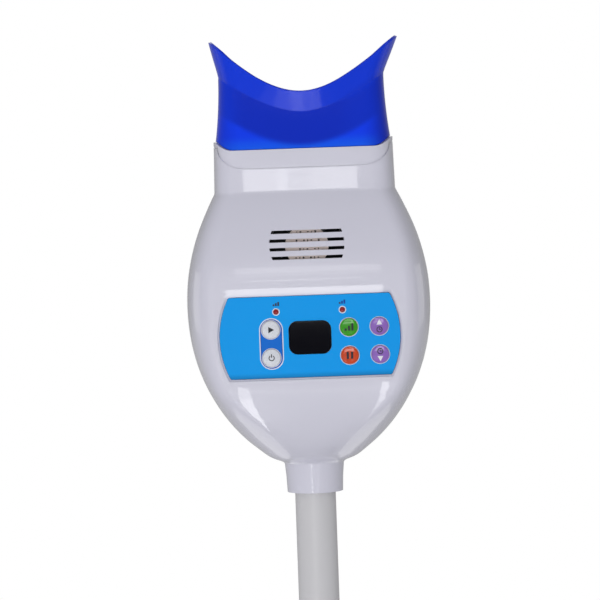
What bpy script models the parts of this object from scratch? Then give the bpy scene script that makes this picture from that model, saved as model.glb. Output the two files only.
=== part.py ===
"""Teeth whitening lamp on a short weighted stand.

Metres, +Z up, front facing -Y. The origin is the centre of the stand's underside, on the axis of
the pole. Heights on the head are measured up from the lower edge of its neck.
"""
from math import acos, asin, atan, cos, pi, radians, sin, sqrt, tau

import bmesh
import bpy
from mathutils import Matrix, Vector

# Fits and cuts
GAP = 0.0003                     # clearance between pieces that touch
OVERRUN = 0.002                  # how far a cutter passes the faces it cuts
SINK = 0.0005                    # how far a rib or boss is sunk into the wall that carries it
MERGE = 0.00001
SEGMENTS = 32                    # round pieces the size of the pole
SMALL_SEGMENTS = 10              # screws and other small round pieces
BOSS_SEGMENTS = 12
PILOT_SEGMENTS = 8
FINE_SEGMENTS = 14               # keys, knob and fan hub

# Stand
PAD_INSET = 0.003                # inside the cover's edge
PAD_THICKNESS = 0.003
WEIGHT_CLEARANCE = 0.0035        # between the weight's rim and the cover
WEIGHT_THICKNESS = 0.012
COVER_RADIUS = 0.075
COVER_WALL = 0.0025
COVER_LIP_HEIGHT = 0.0127        # upright part of the cover's side
COVER_DOME_HEIGHT = 0.022
COVER_DOME_STEPS = 6
SOCKET_RIM_RISE = 0.011          # top of the socket above the clamp's axis
SOCKET_WALL = 0.0027
SOCKET_FLOOR = 0.009             # closed lower end, tapped for the bolt
SHOULDER_REACH = 0.0035          # holds the cover down
SHOULDER_THICKNESS = 0.003
BOLT_RADIUS = 0.0039             # M8
BOLT_HEAD_RADIUS = 0.0065
BOLT_HEAD_HEIGHT = 0.005
BOLT_TIP_WALL = 0.0015
LINER_WALL = 0.0014
LINER_RIM_THICKNESS = 0.002
LINER_RIM_LAP = 0.0025           # how far the liner's rim lies over the socket's wall

# Clamp that holds the pole
CLAMP_HEIGHT = 0.084
CLAMP_BOSS_RADIUS = 0.008
CLAMP_BOSS_LENGTH = 0.009
SHOE_RADIUS = 0.005
SHOE_THICKNESS = 0.003
STUD_RADIUS = 0.0039             # M8
STUD_PITCH = 0.00125
KNOB_RADIUS = 0.015
KNOB_LENGTH = 0.014
KNOB_GRIP_RADIUS = 0.006
KNOB_GRIPS = 6
KNOB_GRIP_DEPTH = 0.0022
KNOB_ROUNDING = 0.0015
KNOB_STANDOFF = 0.0025           # leaves the knob its travel outside the boss

# Pole
POLE_RADIUS = 0.0123
POLE_WALL = 0.0012
POLE_FOOT_GAP = 0.0015           # below the pole, inside the liner
COLLAR_RING_WALL = 0.0054
COLLAR_RING_HEIGHT = 0.007
STOP_LUG_REACH = 0.0045
STOP_LUG_WIDTH = 0.006
STOP_RIB_WIDTH = 0.004
CROSS_PIN_RADIUS = 0.0015

# Low-voltage inlet and leads
INLET_WIDTH = 0.012
INLET_HEIGHT = 0.010
INLET_DEPTH = 0.014
INLET_HOLE_RADIUS = 0.003
INLET_HOLE_DEPTH = 0.009
INLET_PIN_RADIUS = 0.001
INLET_Z = 0.0095
LEAD_RADIUS = 0.002
THIN_LEAD_RADIUS = 0.0012
LEAD_END_GAP = 0.001             # between a lead's cut end and what it is soldered to

# Head outline, seen from the front
NECK_BASE_Z = 0.190
NECK_RADIUS_BOTTOM = 0.0168
NECK_RADIUS_TOP = 0.0176
NECK_TOP_H = 0.0187              # the body's outline leaves the neck here
BODY_HALF_WIDTH = 0.0733
BODY_DROP = 0.0982               # semi-axis of the outline below the widest place
BODY_RISE = 0.1012               # semi-axis above it
COLLAR_RISE = 0.0309             # from the middle of the air slots to the collar's base
COLLAR_DRAFT = 0.00067           # how far each side leans in by the collar's top
PORT_FRONT_RISE = 0.0259         # lip of the light port above the collar's base, at the front
PORT_SIDE_RISE = 0.0309          # and at the sides and the rear
PORT_FLAT_SHARE = 0.78           # of the lip's width that is level at the front
SEAM_FRONT_RISE = 0.0148         # U-shaped seam under the white band
SEAM_SIDE_RISE = 0.0280
SEAM_CORNER_WIDTH = 0.0157

# Head sections, seen from above
FRONT_DEPTH = 0.044
REAR_DEPTH = 0.040
COLLAR_DEPTH = 0.030
FLAT_LOWER_MARGIN = 0.0064       # the front is upright this far below the panel
FLAT_UPPER_MARGIN = 0.0068       # and above it
REAR_DEEPEST_DROP = 0.004        # below the widest place
FRONT_FLAT_SHARE = 0.78
REAR_FLAT_SHARE = 0.30
COLLAR_FLAT_SHARE = 0.72
BODY_POWER = 2.35
COLLAR_POWER = 3.0
WALL = 0.0018
CORNER_STEPS = 6
FLAT_STEPS = 2
CORNER_SHARE = 0.7
PARTING_LAP = 0.003              # the shells are lofted this far past the parting plane, then cut
NECK_ROWS = 1
LOWER_ROWS = 8
UPPER_ROWS = 5
COLLAR_ROWS = 1

# Panel recess and what is set in it, places measured from the panel's centre
PANEL_DROP = 0.0176              # panel's centre below the body's widest place
PANEL_HALF_HEIGHT = 0.0244
PANEL_HALF_WIDTH = 0.0478
PANEL_BULGE = 0.0059             # how far each end bows out between its corners
PANEL_ARC_STEPS = 8
PANEL_GROOVE = 0.0012
RECESS_DEPTH = 0.0012
OVERLAY_THICKNESS = 0.0007
BACKING_MARGIN = 0.0015
BACKING_REACH = 0.0034           # from the front face to the back of the thickened wall
WINDOW_WIDTH = 0.0248
WINDOW_HEIGHT = 0.0194
WINDOW_CORNER = 0.005
WINDOW_DROP = 0.0007
CORNER_ARC_STEPS = 4
KEY_RADIUS = 0.0053
KEY_PROUD = 0.0010
KEY_ROUNDING = 0.0006
KEY_TRAVEL = 0.0005
KEY_FLANGE_LAP = 0.0012
KEY_FLANGE_THICKNESS = 0.0010
KEY_STEM_RADIUS = 0.002
KEY_INNER_X = 0.0232
KEY_OUTER_X = 0.0412
KEY_UPPER_H = 0.0046
KEY_LOWER_H = 0.0121
LAMP_RADIUS = 0.0016
LAMP_PROUD = 0.0006
LAMP_X = 0.0197
LAMP_H = 0.0151

# Boards behind the panel
BOARD_THICKNESS = 0.0016
BOARD_SETBACK = 0.0102           # board's front face behind the panel's front face
BOARD_HALF_WIDTH = 0.0465
BOARD_TOP_H = 0.0215
BOARD_BOTTOM_H = 0.0265
BOARD_BOSS_X = 0.0380
BOARD_BOSS_UPPER_H = 0.0175
BOARD_BOSS_LOWER_H = 0.0225
BOARD_BOSS_RADIUS = 0.0030
SWITCH_SIZE = 0.006
SWITCH_HEIGHT = 0.0025
PLUNGER_SIZE = 0.0030
PLUNGER_HEIGHT = 0.0005
DISPLAY_WIDTH = 0.0250
DISPLAY_HEIGHT = 0.0190
BUZZER_RADIUS = 0.006
BUZZER_HEIGHT = 0.008
BUZZER_X = 0.028
CHIP_SIZE = 0.012
CHIP_HEIGHT = 0.003
SOCKET_BLOCK_WIDTH = 0.016
SOCKET_BLOCK_HEIGHT = 0.006
SOCKET_BLOCK_DEPTH = 0.007

# Driver board on the rear shell
DRIVER_Y = 0.018
DRIVER_DROP = 0.0058             # below the panel's centre
DRIVER_HALF_WIDTH = 0.028
DRIVER_HALF_HEIGHT = 0.023
DRIVER_BOSS_INSET = 0.004
DRIVER_BOSS_RADIUS = 0.0032
COIL_SIZE = 0.016
COIL_DEPTH = 0.012
CAPACITOR_RADIUS = 0.005
CAPACITOR_LENGTH = 0.013

# Screws
SMALL_SHANK_RADIUS = 0.0012
SMALL_HEAD_RADIUS = 0.0024
SMALL_HEAD_HEIGHT = 0.0016
SHELL_SHANK_RADIUS = 0.0014
SHELL_HEAD_RADIUS = 0.0028
SHELL_HEAD_HEIGHT = 0.0020
SHELL_SCREW_LENGTH = 0.014
SHELL_BOSS_RADIUS = 0.0042
SHELL_BOSS_SEAT = 0.004
UPPER_BOSS_INSET = 0.0121        # inside the outline at the same height
UPPER_BOSS_RISE = 0.032          # above the widest place
LOWER_BOSS_INSET = 0.0188
LOWER_BOSS_RISE = 0.0313        # above the neck

# Ribs that rest on the pole's end
THRUST_H = 0.0463
THRUST_THICKNESS = 0.003
THRUST_HALF_WIDTH = 0.014
THRUST_HOLE_RADIUS = 0.005
BUSH_RIM_THICKNESS = 0.002
BUSH_RIM_REACH = 0.003
BUSH_BASE_H = 0.0006

# Fan behind the air slots
FAN_BOARD_GAP = 0.0079           # from the control board's top to the fan's lower edge
SLOT_PITCH = 0.0051
SLOT_HEIGHT = 0.0019
SLOT_LENGTH_INNER = 0.0442
SLOT_LENGTH_OUTER = 0.0420
FAN_THICKNESS = 0.015
FAN_HOLE_SPACING = 0.040         # 50 mm fan, 40 mm between its holes
FAN_HOLE_INSET = 0.005
FAN_RIM = 0.0015                 # the frame's least wall round its bore
FAN_HOLE_RADIUS = 0.0017
FAN_SETBACK = 0.0036             # behind the wall's inner face
FAN_BOSS_RADIUS = 0.0030
FAN_BASE_RADIUS = 0.0134
FAN_BASE_THICKNESS = 0.0020
FAN_STRUT_WIDTH = 0.0026
FAN_HUB_RADIUS = 0.0120
FAN_HUB_GAP = 0.0006
FAN_BLADES = 7
FAN_BLADE_THICKNESS = 0.0010
FAN_BLADE_LENGTH = 0.0090
FAN_BLADE_CLEARANCE = 0.0009
FAN_BLADE_PITCH = radians(38.0)
REAR_SLOTS = 6
REAR_SLOT_LENGTH = 0.036
REAR_SLOT_HEIGHT = 0.0022
REAR_SLOT_PITCH = 0.0055
REAR_SLOT_DROP = 0.0079          # below the middle of the front slots

# Light engine
HOOD_SEAT_RISE = 0.0195          # ledge that the blue shield stands on, above the collar's base
PORT_RING_RISE = 0.0083
PORT_RING_WALL = 0.0027
PORT_FLANGE_REACH = 0.0025
PORT_FLANGE_THICKNESS = 0.0020
BAND_ROOT_WALL = 0.0010          # joins the band to the ring under the shield's ledge
WINDOW_PLATE_THICKNESS = 0.0030
TRAY_WALL = 0.0008
TRAY_TOP_INSET = 0.0010
TRAY_SIDE_LEAN = 0.0137          # base inside the collar's side
TRAY_FRONT_LEAN = 0.0185         # and inside its front
LED_BOARD_DROP = 0.0174          # below the collar's base
LED_BOARD_MARGIN = 0.002         # round the tray's base
EMITTER_SIZE = 0.007
EMITTER_HEIGHT = 0.0014
EMITTER_LENS_SIZE = 0.0044
EMITTER_LENS_HEIGHT = 0.0010
EMITTER_COLUMNS = 4
EMITTER_ROWS = 2
EMITTER_SCREW_GAP = 0.0031       # between an outer emitter and a screw's head
EMITTER_PITCH_Y = 0.011
LED_SCREW_INSET = 0.0075
SINK_BASE_THICKNESS = 0.004
SINK_BACK_Y = 0.020
SINK_EAR_HEIGHT = 0.014
SINK_EAR_THICKNESS = 0.003
SINK_BOSS_INSET = 0.0075
FIN_THICKNESS = 0.0014
FIN_MARGIN = 0.014               # from the last fin to the sink's end
FINS = 9
FIN_LENGTH = 0.028
FIN_FRONT_Y = 0.0115

# Blue shield
HOOD_WALL = 0.0018
HOOD_BASE_INSET = WALL + GAP     # inside the collar's outer face
HOOD_SHOULDER_INSET = 0.0005     # above the port's lip the shield is nearly flush with the collar
HOOD_SIDE_TAPER = 0.0030         # from this shoulder to the waist
HOOD_FRONT_TAPER = 0.0025
HOOD_CREASE_STEP = 0.0002        # wider again at the crease
HOOD_CREASE_FRONT_RISE = 0.0222  # above the port's lip
HOOD_CREASE_RISE = 0.0222
HOOD_CREASE_POWER = 1.7
HOOD_SIDE_FLARE = 0.0068         # how far the lip leans out at the sides
HOOD_RIM_FLARE = 0.0048          # and at the front
HOOD_LIP_HEIGHT = 0.0126         # at the middle of the front
HOOD_RIM_RISE = 0.0306
HOOD_RIM_POWER = 1.75
HOOD_LOWER_ROWS = 4
HOOD_LIP_ROWS = 2

HALF = 0.5


def smooth(value):
    """Ease from 0 to 1."""
    value = min(max(value, 0.0), 1.0)
    return value * value * (3 - 2 * value)


def mix(first, second, share):
    return first + (second - first) * share


def ellipse(full, offset, semi_axis):
    """Width of an ellipse at an offset from its widest place."""
    return full * sqrt(max(1 - (offset / semi_axis) ** 2, 0.0))


# Stand, from the cover inwards
SOCKET_HEIGHT = CLAMP_HEIGHT + SOCKET_RIM_RISE
PAD_RADIUS = COVER_RADIUS - PAD_INSET
WEIGHT_RADIUS = COVER_RADIUS - COVER_WALL - WEIGHT_CLEARANCE

# Fan
FAN_SIZE = FAN_HOLE_SPACING + FAN_HOLE_INSET + FAN_HOLE_INSET
FAN_BORE_RADIUS = FAN_SIZE * HALF - FAN_RIM

# Heights of the head, from the neck up
BODY_WIDEST_H = NECK_TOP_H + ellipse(BODY_DROP, NECK_RADIUS_TOP, BODY_HALF_WIDTH)
PANEL_H = BODY_WIDEST_H - PANEL_DROP
FLAT_BASE_H = PANEL_H - PANEL_HALF_HEIGHT - FLAT_LOWER_MARGIN
FLAT_TOP_H = PANEL_H + PANEL_HALF_HEIGHT + FLAT_UPPER_MARGIN
REAR_DEEPEST_H = BODY_WIDEST_H - REAR_DEEPEST_DROP
DRIVER_H = PANEL_H - DRIVER_DROP
UPPER_BOSS_H = BODY_WIDEST_H + UPPER_BOSS_RISE
LOWER_BOSS_H = NECK_TOP_H + LOWER_BOSS_RISE
VENT_H = PANEL_H + BOARD_TOP_H + FAN_BOARD_GAP + FAN_SIZE * HALF
REAR_SLOT_H = VENT_H - REAR_SLOT_DROP
COLLAR_BASE_H = VENT_H + COLLAR_RISE
LED_BOARD_H = COLLAR_BASE_H - LED_BOARD_DROP
PORT_RING_BASE_H = COLLAR_BASE_H + PORT_RING_RISE
HOOD_SEAT_H = COLLAR_BASE_H + HOOD_SEAT_RISE
SEAM_FRONT_H = COLLAR_BASE_H + SEAM_FRONT_RISE
SEAM_SIDE_H = COLLAR_BASE_H + SEAM_SIDE_RISE
PORT_FRONT_H = COLLAR_BASE_H + PORT_FRONT_RISE
PORT_SIDE_H = COLLAR_BASE_H + PORT_SIDE_RISE
HOOD_CREASE_FRONT_H = PORT_FRONT_H + HOOD_CREASE_FRONT_RISE
HOOD_RIM_FRONT_H = HOOD_CREASE_FRONT_H + HOOD_LIP_HEIGHT

# Widths of the collar and of what stands in it
COLLAR_BASE_HALF_WIDTH = ellipse(BODY_HALF_WIDTH, COLLAR_BASE_H - BODY_WIDEST_H, BODY_RISE)
COLLAR_TOP_HALF_WIDTH = COLLAR_BASE_HALF_WIDTH - COLLAR_DRAFT
SEAM_FLAT_HALF_WIDTH = COLLAR_TOP_HALF_WIDTH - SEAM_CORNER_WIDTH
UPPER_BOSS_X = ellipse(BODY_HALF_WIDTH, UPPER_BOSS_RISE, BODY_RISE) - UPPER_BOSS_INSET
LOWER_BOSS_X = ellipse(BODY_HALF_WIDTH, BODY_WIDEST_H - LOWER_BOSS_H, BODY_DROP) - LOWER_BOSS_INSET
HOOD_WAIST_HALF_WIDTH = COLLAR_TOP_HALF_WIDTH - HOOD_SHOULDER_INSET - HOOD_SIDE_TAPER
HOOD_WAIST_DEPTH = COLLAR_DEPTH - HOOD_SHOULDER_INSET - HOOD_FRONT_TAPER
HOOD_CREASE_HALF_WIDTH = HOOD_WAIST_HALF_WIDTH + HOOD_CREASE_STEP
HOOD_RIM_HALF_WIDTH = HOOD_CREASE_HALF_WIDTH + HOOD_SIDE_FLARE
TRAY_BASE_HALF_WIDTH = COLLAR_TOP_HALF_WIDTH - TRAY_SIDE_LEAN
TRAY_BASE_HALF_DEPTH = COLLAR_DEPTH - TRAY_FRONT_LEAN
LED_BOARD_HALF_WIDTH = TRAY_BASE_HALF_WIDTH + LED_BOARD_MARGIN
LED_BOARD_HALF_DEPTH = TRAY_BASE_HALF_DEPTH + LED_BOARD_MARGIN
LED_SCREW_X = LED_BOARD_HALF_WIDTH - LED_SCREW_INSET
SINK_BOSS_X = LED_BOARD_HALF_WIDTH - SINK_BOSS_INSET
FIN_PITCH = (LED_BOARD_HALF_WIDTH - FIN_MARGIN) / ((FINS - 1) * HALF)
EMITTER_REACH = LED_SCREW_X - SMALL_HEAD_RADIUS - EMITTER_SCREW_GAP - EMITTER_SIZE * HALF
EMITTER_PITCH_X = EMITTER_REACH / ((EMITTER_COLUMNS - 1) * HALF)


def collar_share(height):
    """0 at the collar's base and 1 at its top."""
    return (height - COLLAR_BASE_H) / (PORT_SIDE_H - COLLAR_BASE_H)


def half_width_at(height):
    """Half the head's width at a height."""
    if height <= NECK_TOP_H:
        return mix(NECK_RADIUS_BOTTOM, NECK_RADIUS_TOP, height / NECK_TOP_H)
    if height <= BODY_WIDEST_H:
        return ellipse(BODY_HALF_WIDTH, BODY_WIDEST_H - height, BODY_DROP)
    if height <= COLLAR_BASE_H:
        return ellipse(BODY_HALF_WIDTH, height - BODY_WIDEST_H, BODY_RISE)
    return mix(COLLAR_BASE_HALF_WIDTH, COLLAR_TOP_HALF_WIDTH, collar_share(height))


def drop_axis(full, widest):
    """Semi-axis of the ellipse that falls from the full depth to the neck's radius."""
    return (widest - NECK_TOP_H) / sqrt(1 - (NECK_RADIUS_TOP / full) ** 2)


def front_depth_at(height):
    """Distance of the front face from the pole's axis."""
    if height <= NECK_TOP_H:
        return half_width_at(height)
    if height <= FLAT_BASE_H:
        return ellipse(FRONT_DEPTH, FLAT_BASE_H - height, drop_axis(FRONT_DEPTH, FLAT_BASE_H))
    if height <= FLAT_TOP_H:
        return FRONT_DEPTH
    share = min((height - FLAT_TOP_H) / (COLLAR_BASE_H - FLAT_TOP_H), 1.0)
    return FRONT_DEPTH - (FRONT_DEPTH - COLLAR_DEPTH) * share ** 2


def rear_depth_at(height):
    """Distance of the rear face from the pole's axis."""
    if height <= NECK_TOP_H:
        return half_width_at(height)
    if height <= REAR_DEEPEST_H:
        return ellipse(REAR_DEPTH, REAR_DEEPEST_H - height, drop_axis(REAR_DEPTH, REAR_DEEPEST_H))
    if height <= COLLAR_BASE_H:
        semi_axis = (COLLAR_BASE_H - REAR_DEEPEST_H) / sqrt(1 - (COLLAR_DEPTH / REAR_DEPTH) ** 2)
        return ellipse(REAR_DEPTH, height - REAR_DEEPEST_H, semi_axis)
    return COLLAR_DEPTH


def flat_share_at(height, side):
    """Share of the half width that is flat across the front (-1) or the rear (+1)."""
    body_share = FRONT_FLAT_SHARE if side < 0 else REAR_FLAT_SHARE
    blend = smooth((height - FLAT_TOP_H) / (COLLAR_BASE_H - FLAT_TOP_H))
    return mix(body_share, COLLAR_FLAT_SHARE, blend)


def corner_power_at(height):
    return mix(BODY_POWER, COLLAR_POWER, smooth((height - FLAT_TOP_H) / (COLLAR_BASE_H - FLAT_TOP_H)))


def quarter_point(half_width, depth, flat_share, power, roundness, position):
    """Point of a level quarter section, from the side (0) to the middle of the face (1)."""
    angle = position * pi * HALF
    round_x, round_y = half_width * cos(angle), depth * sin(angle)
    if position < CORNER_SHARE:
        turn = position / CORNER_SHARE * pi * HALF
        x = half_width * (flat_share + (1 - flat_share) * cos(turn) ** (2 / power))
        y = depth * sin(turn) ** (2 / power)
    else:
        x = half_width * flat_share * (1 - position) / (1 - CORNER_SHARE)
        y = depth
    return mix(x, round_x, roundness), mix(y, round_y, roundness)


def head_point(height, side, position, inset=0.0):
    """Point on one quarter of the head's outer surface, or that far inside it."""
    depth = front_depth_at(height) if side < 0 else rear_depth_at(height)
    roundness = 1 - smooth((height - NECK_TOP_H) / (FLAT_BASE_H - NECK_TOP_H))
    return quarter_point(half_width_at(height) - inset, depth - inset, flat_share_at(height, side),
                         corner_power_at(height), roundness, position)


def collar_point(inset, position, half_width=COLLAR_TOP_HALF_WIDTH, depth=COLLAR_DEPTH):
    """Point of the collar's top section, moved inwards by an inset."""
    return quarter_point(half_width - inset, depth - inset, COLLAR_FLAT_SHARE, COLLAR_POWER,
                         0.0, position)


def surface_depth(x, height, side):
    """How far the head's outer surface lies from the parting plane at a place."""
    low, high = 0.0, 1.0
    for _ in range(40):
        middle = (low + high) * HALF
        if head_point(height, side, middle)[0] > abs(x):
            low = middle
        else:
            high = middle
    return head_point(height, side, low)[1]


def half_positions(side):
    """Columns of half a section, left to right at the front and right to left at the rear."""
    shares = [CORNER_SHARE * step / CORNER_STEPS for step in range(CORNER_STEPS)]
    shares += [mix(CORNER_SHARE, 1.0, step / FLAT_STEPS) for step in range(FLAT_STEPS + 1)]
    return [(side, share) for share in shares] + [(-side, share) for share in reversed(shares[:-1])]


def head_rows():
    """Heights of the rows of the head's loft, closer together where it curves more."""
    rows = [NECK_TOP_H * step / NECK_ROWS for step in range(NECK_ROWS)]
    start = asin(NECK_RADIUS_TOP / BODY_HALF_WIDTH)
    for step in range(LOWER_ROWS):
        angle = mix(start, pi * HALF, step / LOWER_ROWS)
        rows.append(BODY_WIDEST_H - BODY_DROP * cos(angle))
    end = acos((COLLAR_BASE_H - BODY_WIDEST_H) / BODY_RISE)
    for step in range(UPPER_ROWS + 1):
        angle = mix(pi * HALF, end, step / UPPER_ROWS)
        rows.append(BODY_WIDEST_H + BODY_RISE * cos(angle))
    top = PORT_SIDE_H + OVERRUN
    rows += [mix(COLLAR_BASE_H, top, (step + 1) / COLLAR_ROWS) for step in range(COLLAR_ROWS)]
    return rows


def clear_scene():
    for thing in list(bpy.data.objects):
        bpy.data.objects.remove(thing, do_unlink=True)


clear_scene()
PARTS = bpy.data.collections.new("teeth_whitening_lamp")
CUTTERS = bpy.data.collections.new("cutters")
for collection in (PARTS, CUTTERS):
    bpy.context.scene.collection.children.link(collection)


def material(name, colour, roughness, metallic=0.0, transmission=0.0):
    made = bpy.data.materials.new(name)
    made.use_nodes = True
    shader = made.node_tree.nodes["Principled BSDF"]
    shader.inputs["Base Color"].default_value = (*colour, 1.0)
    shader.inputs["Roughness"].default_value = roughness
    shader.inputs["Metallic"].default_value = metallic
    shader.inputs["Transmission Weight"].default_value = transmission
    made.diffuse_color = (*colour, 1.0)
    return made


WHITE = (0.60, 0.59, 0.68)
PALE = (0.55, 0.55, 0.58)
GREY = (0.30, 0.30, 0.32)
BLACK = (0.015, 0.015, 0.017)
BLUE = (0.008, 0.045, 0.78)
PANEL_BLUE = (0.013, 0.32, 0.81)
KEY_WHITE = (0.72, 0.72, 0.78)
GREEN = (0.055, 0.35, 0.013)
RED_ORANGE = (0.74, 0.076, 0.023)
PURPLE = (0.35, 0.15, 0.55)
DARK_RED = (0.27, 0.010, 0.015)
BOARD_GREEN = (0.02, 0.16, 0.06)
STEEL = (0.55, 0.55, 0.56)
ALUMINIUM = (0.70, 0.70, 0.72)
YELLOW = (0.75, 0.62, 0.10)


def empty(name, parent=None, location=(0, 0, 0), rotation=(0, 0, 0)):
    made = bpy.data.objects.new(name, None)
    PARTS.objects.link(made)
    made.parent = parent
    made.location = location
    made.rotation_euler = rotation
    return made


def piece(name, mesh, look, parent=None, location=(0, 0, 0), rotation=(0, 0, 0)):
    """A named sub-part with its own material, shaded smooth between its sharp edges."""
    mesh.name = name
    mesh.materials.clear()
    mesh.materials.append(material(name, *look))
    mesh.shade_smooth()
    mesh.set_sharp_from_angle(angle=radians(35))
    made = bpy.data.objects.new(name, mesh)
    PARTS.objects.link(made)
    made.parent = parent
    made.location = location
    made.rotation_euler = rotation
    return made


def shape(target, mesh, operation):
    """Cut a mesh from a piece, join it on, or keep what they share."""
    tool = bpy.data.objects.new(target.name + "_" + operation.lower(), mesh)
    CUTTERS.objects.link(tool)
    tool.parent = target.parent
    tool.location = target.location
    tool.rotation_euler = target.rotation_euler
    tool.hide_render = True
    tool.display_type = "WIRE"
    change = target.modifiers.new(operation.lower(), "BOOLEAN")
    change.operation = operation
    change.solver = "EXACT"
    change.object = tool


def cut(target, mesh):
    shape(target, mesh, "DIFFERENCE")


def join(target, mesh):
    shape(target, mesh, "UNION")


def keep(target, mesh):
    shape(target, mesh, "INTERSECT")


def to_mesh(build):
    """Mesh of whatever a function adds to an empty bmesh."""
    bm = bmesh.new()
    build(bm)
    bmesh.ops.recalc_face_normals(bm, faces=bm.faces)
    mesh = bpy.data.meshes.new("mesh")
    bm.to_mesh(mesh)
    bm.free()
    return mesh


def add_box(bm, low, high):
    """A box between two corners."""
    low, high = Vector(low), Vector(high)
    made = bmesh.ops.create_cube(bm, size=1.0)["verts"]
    size = high - low
    middle = (low + high) * HALF
    bmesh.ops.scale(bm, vec=size, verts=made)
    bmesh.ops.translate(bm, vec=middle, verts=made)
    return made


def box_mesh(low, high):
    return to_mesh(lambda bm: add_box(bm, low, high))


def add_rod(bm, radius, start, end, segments=SMALL_SEGMENTS):
    """A round rod between two points."""
    start, end = Vector(start), Vector(end)
    along = end - start
    place = Matrix.Translation((start + end) * HALF) @ along.to_track_quat("Z", "Y").to_matrix().to_4x4()
    return bmesh.ops.create_cone(bm, cap_ends=True, segments=segments, radius1=radius,
                                 radius2=radius, depth=along.length, matrix=place)["verts"]


def rods_mesh(radius, spans, segments=SMALL_SEGMENTS):
    """Several rods of one radius that stay clear of each other."""
    def build(bm):
        for start, end in spans:
            add_rod(bm, radius, start, end, segments)
    return to_mesh(build)


def add_stepped_block(bm, centre, size, height, step_size, step_height, matrix):
    """A square block with a smaller square on top, standing on its base's centre."""
    made = bmesh.ops.create_cube(bm, size=1.0)["verts"]
    bmesh.ops.scale(bm, vec=(size, size, height), verts=made)
    bmesh.ops.translate(bm, vec=(0, 0, height * HALF), verts=made)
    top = max({face for vert in made for face in vert.link_faces},
              key=lambda face: face.calc_center_median().z)
    bmesh.ops.inset_individual(bm, faces=[top], thickness=(size - step_size) * HALF)
    grown = bmesh.ops.extrude_discrete_faces(bm, faces=[top])["faces"]
    raised = list(grown[0].verts)
    bmesh.ops.translate(bm, vec=(0, 0, step_height), verts=raised)
    every = list({vert for face in grown for vert in face.verts} | set(made))
    linked = {vert for start in every for face in start.link_faces for vert in face.verts}
    bmesh.ops.transform(bm, matrix=Matrix.Translation(centre) @ matrix, verts=list(linked | set(every)))


def evaluated_mesh(source):
    """The mesh of an object with its modifiers or its curve's depth worked out."""
    bpy.context.view_layer.update()
    graph = bpy.context.evaluated_depsgraph_get()
    mesh = bpy.data.meshes.new_from_object(source.evaluated_get(graph))
    bm = bmesh.new()
    bm.from_mesh(mesh)
    bmesh.ops.remove_doubles(bm, verts=bm.verts, dist=MERGE)
    bmesh.ops.recalc_face_normals(bm, faces=bm.faces)
    bm.to_mesh(mesh)
    bm.free()
    bpy.data.objects.remove(source, do_unlink=True)
    return mesh


def turned_object(profile, closed, segments):
    """A profile of (radius, height) points with a Screw modifier round Z."""
    bm = bmesh.new()
    verts = [bm.verts.new((radius, 0, height)) for radius, height in profile]
    for first, second in zip(verts, verts[1:]):
        bm.edges.new((first, second))
    if closed:
        bm.edges.new((verts[-1], verts[0]))
    mesh = bpy.data.meshes.new("profile")
    bm.to_mesh(mesh)
    bm.free()
    source = bpy.data.objects.new("profile", mesh)
    PARTS.objects.link(source)
    turn = source.modifiers.new("turn", "SCREW")
    turn.steps = segments
    turn.render_steps = segments
    turn.use_merge_vertices = True
    turn.merge_threshold = MERGE
    return source


def turned_mesh(profile, closed=False, segments=SEGMENTS):
    return evaluated_mesh(turned_object(profile, closed, segments))


def ring_mesh(inner, outer, low, high, segments=SEGMENTS):
    return turned_mesh([(inner, high), (outer, high), (outer, low), (inner, low)], True, segments)


def plate_mesh(outline, thickness):
    """A flat outline, thickened both ways from the plane that it lies in."""
    curve = bpy.data.curves.new("outline", "CURVE")
    curve.dimensions = "2D"
    curve.fill_mode = "BOTH"
    curve.extrude = thickness * HALF
    line = curve.splines.new("POLY")
    line.points.add(len(outline) - 1)
    for point, (x, y) in zip(line.points, outline):
        point.co = (x, y, 0, 1)
    line.use_cyclic_u = True
    source = bpy.data.objects.new("outline", curve)
    PARTS.objects.link(source)
    return evaluated_mesh(source)


def upright_plate(outline, front_y, back_y, height):
    """A plate that faces -Y, its outline measured from a height on the head."""
    mesh = plate_mesh(outline, back_y - front_y)
    place = Matrix.Translation((0, (front_y + back_y) * HALF, height))
    mesh.transform(place @ Matrix.Rotation(pi * HALF, 4, "X"))
    return mesh


def tube_mesh(points, radius):
    """A round lead along a list of points."""
    curve = bpy.data.curves.new("lead", "CURVE")
    curve.dimensions = "3D"
    curve.bevel_depth = radius
    curve.bevel_resolution = 2
    curve.use_fill_caps = True
    line = curve.splines.new("POLY")
    line.points.add(len(points) - 1)
    for point, place in zip(line.points, points):
        point.co = (*place, 1)
    source = bpy.data.objects.new("lead", curve)
    PARTS.objects.link(source)
    return evaluated_mesh(source)


def bend(start, end, first_pull, last_pull, steps=7):
    """Points of a smooth curve that leaves and arrives along two given pulls."""
    start, end = Vector(start), Vector(end)
    near, far = start + Vector(first_pull), end + Vector(last_pull)
    points = []
    for step in range(steps + 1):
        t = step / steps
        points.append(start * (1 - t) ** 3 + near * 3 * t * (1 - t) ** 2
                      + far * 3 * t ** 2 * (1 - t) + end * t ** 3)
    return points


def grid_mesh(rows, loop_rows=False, loop_columns=False):
    """Faces between rows of points, each row as long as the others."""
    bm = bmesh.new()
    grid = [[bm.verts.new(point) for point in row] for row in rows]
    row_count, column_count = len(grid), len(grid[0])
    for i in range(row_count if loop_rows else row_count - 1):
        for j in range(column_count if loop_columns else column_count - 1):
            i2, j2 = (i + 1) % row_count, (j + 1) % column_count
            bm.faces.new((grid[i][j], grid[i][j2], grid[i2][j2], grid[i2][j]))
    mesh = bpy.data.meshes.new("grid")
    bm.to_mesh(mesh)
    bm.free()
    return mesh


def thicken(target, wall):
    """Give an open sheet its wall, inwards."""
    solid = target.modifiers.new("wall", "SOLIDIFY")
    solid.thickness = wall
    solid.offset = -1.0
    solid.use_even_offset = True
    solid.use_quality_normals = True


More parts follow.
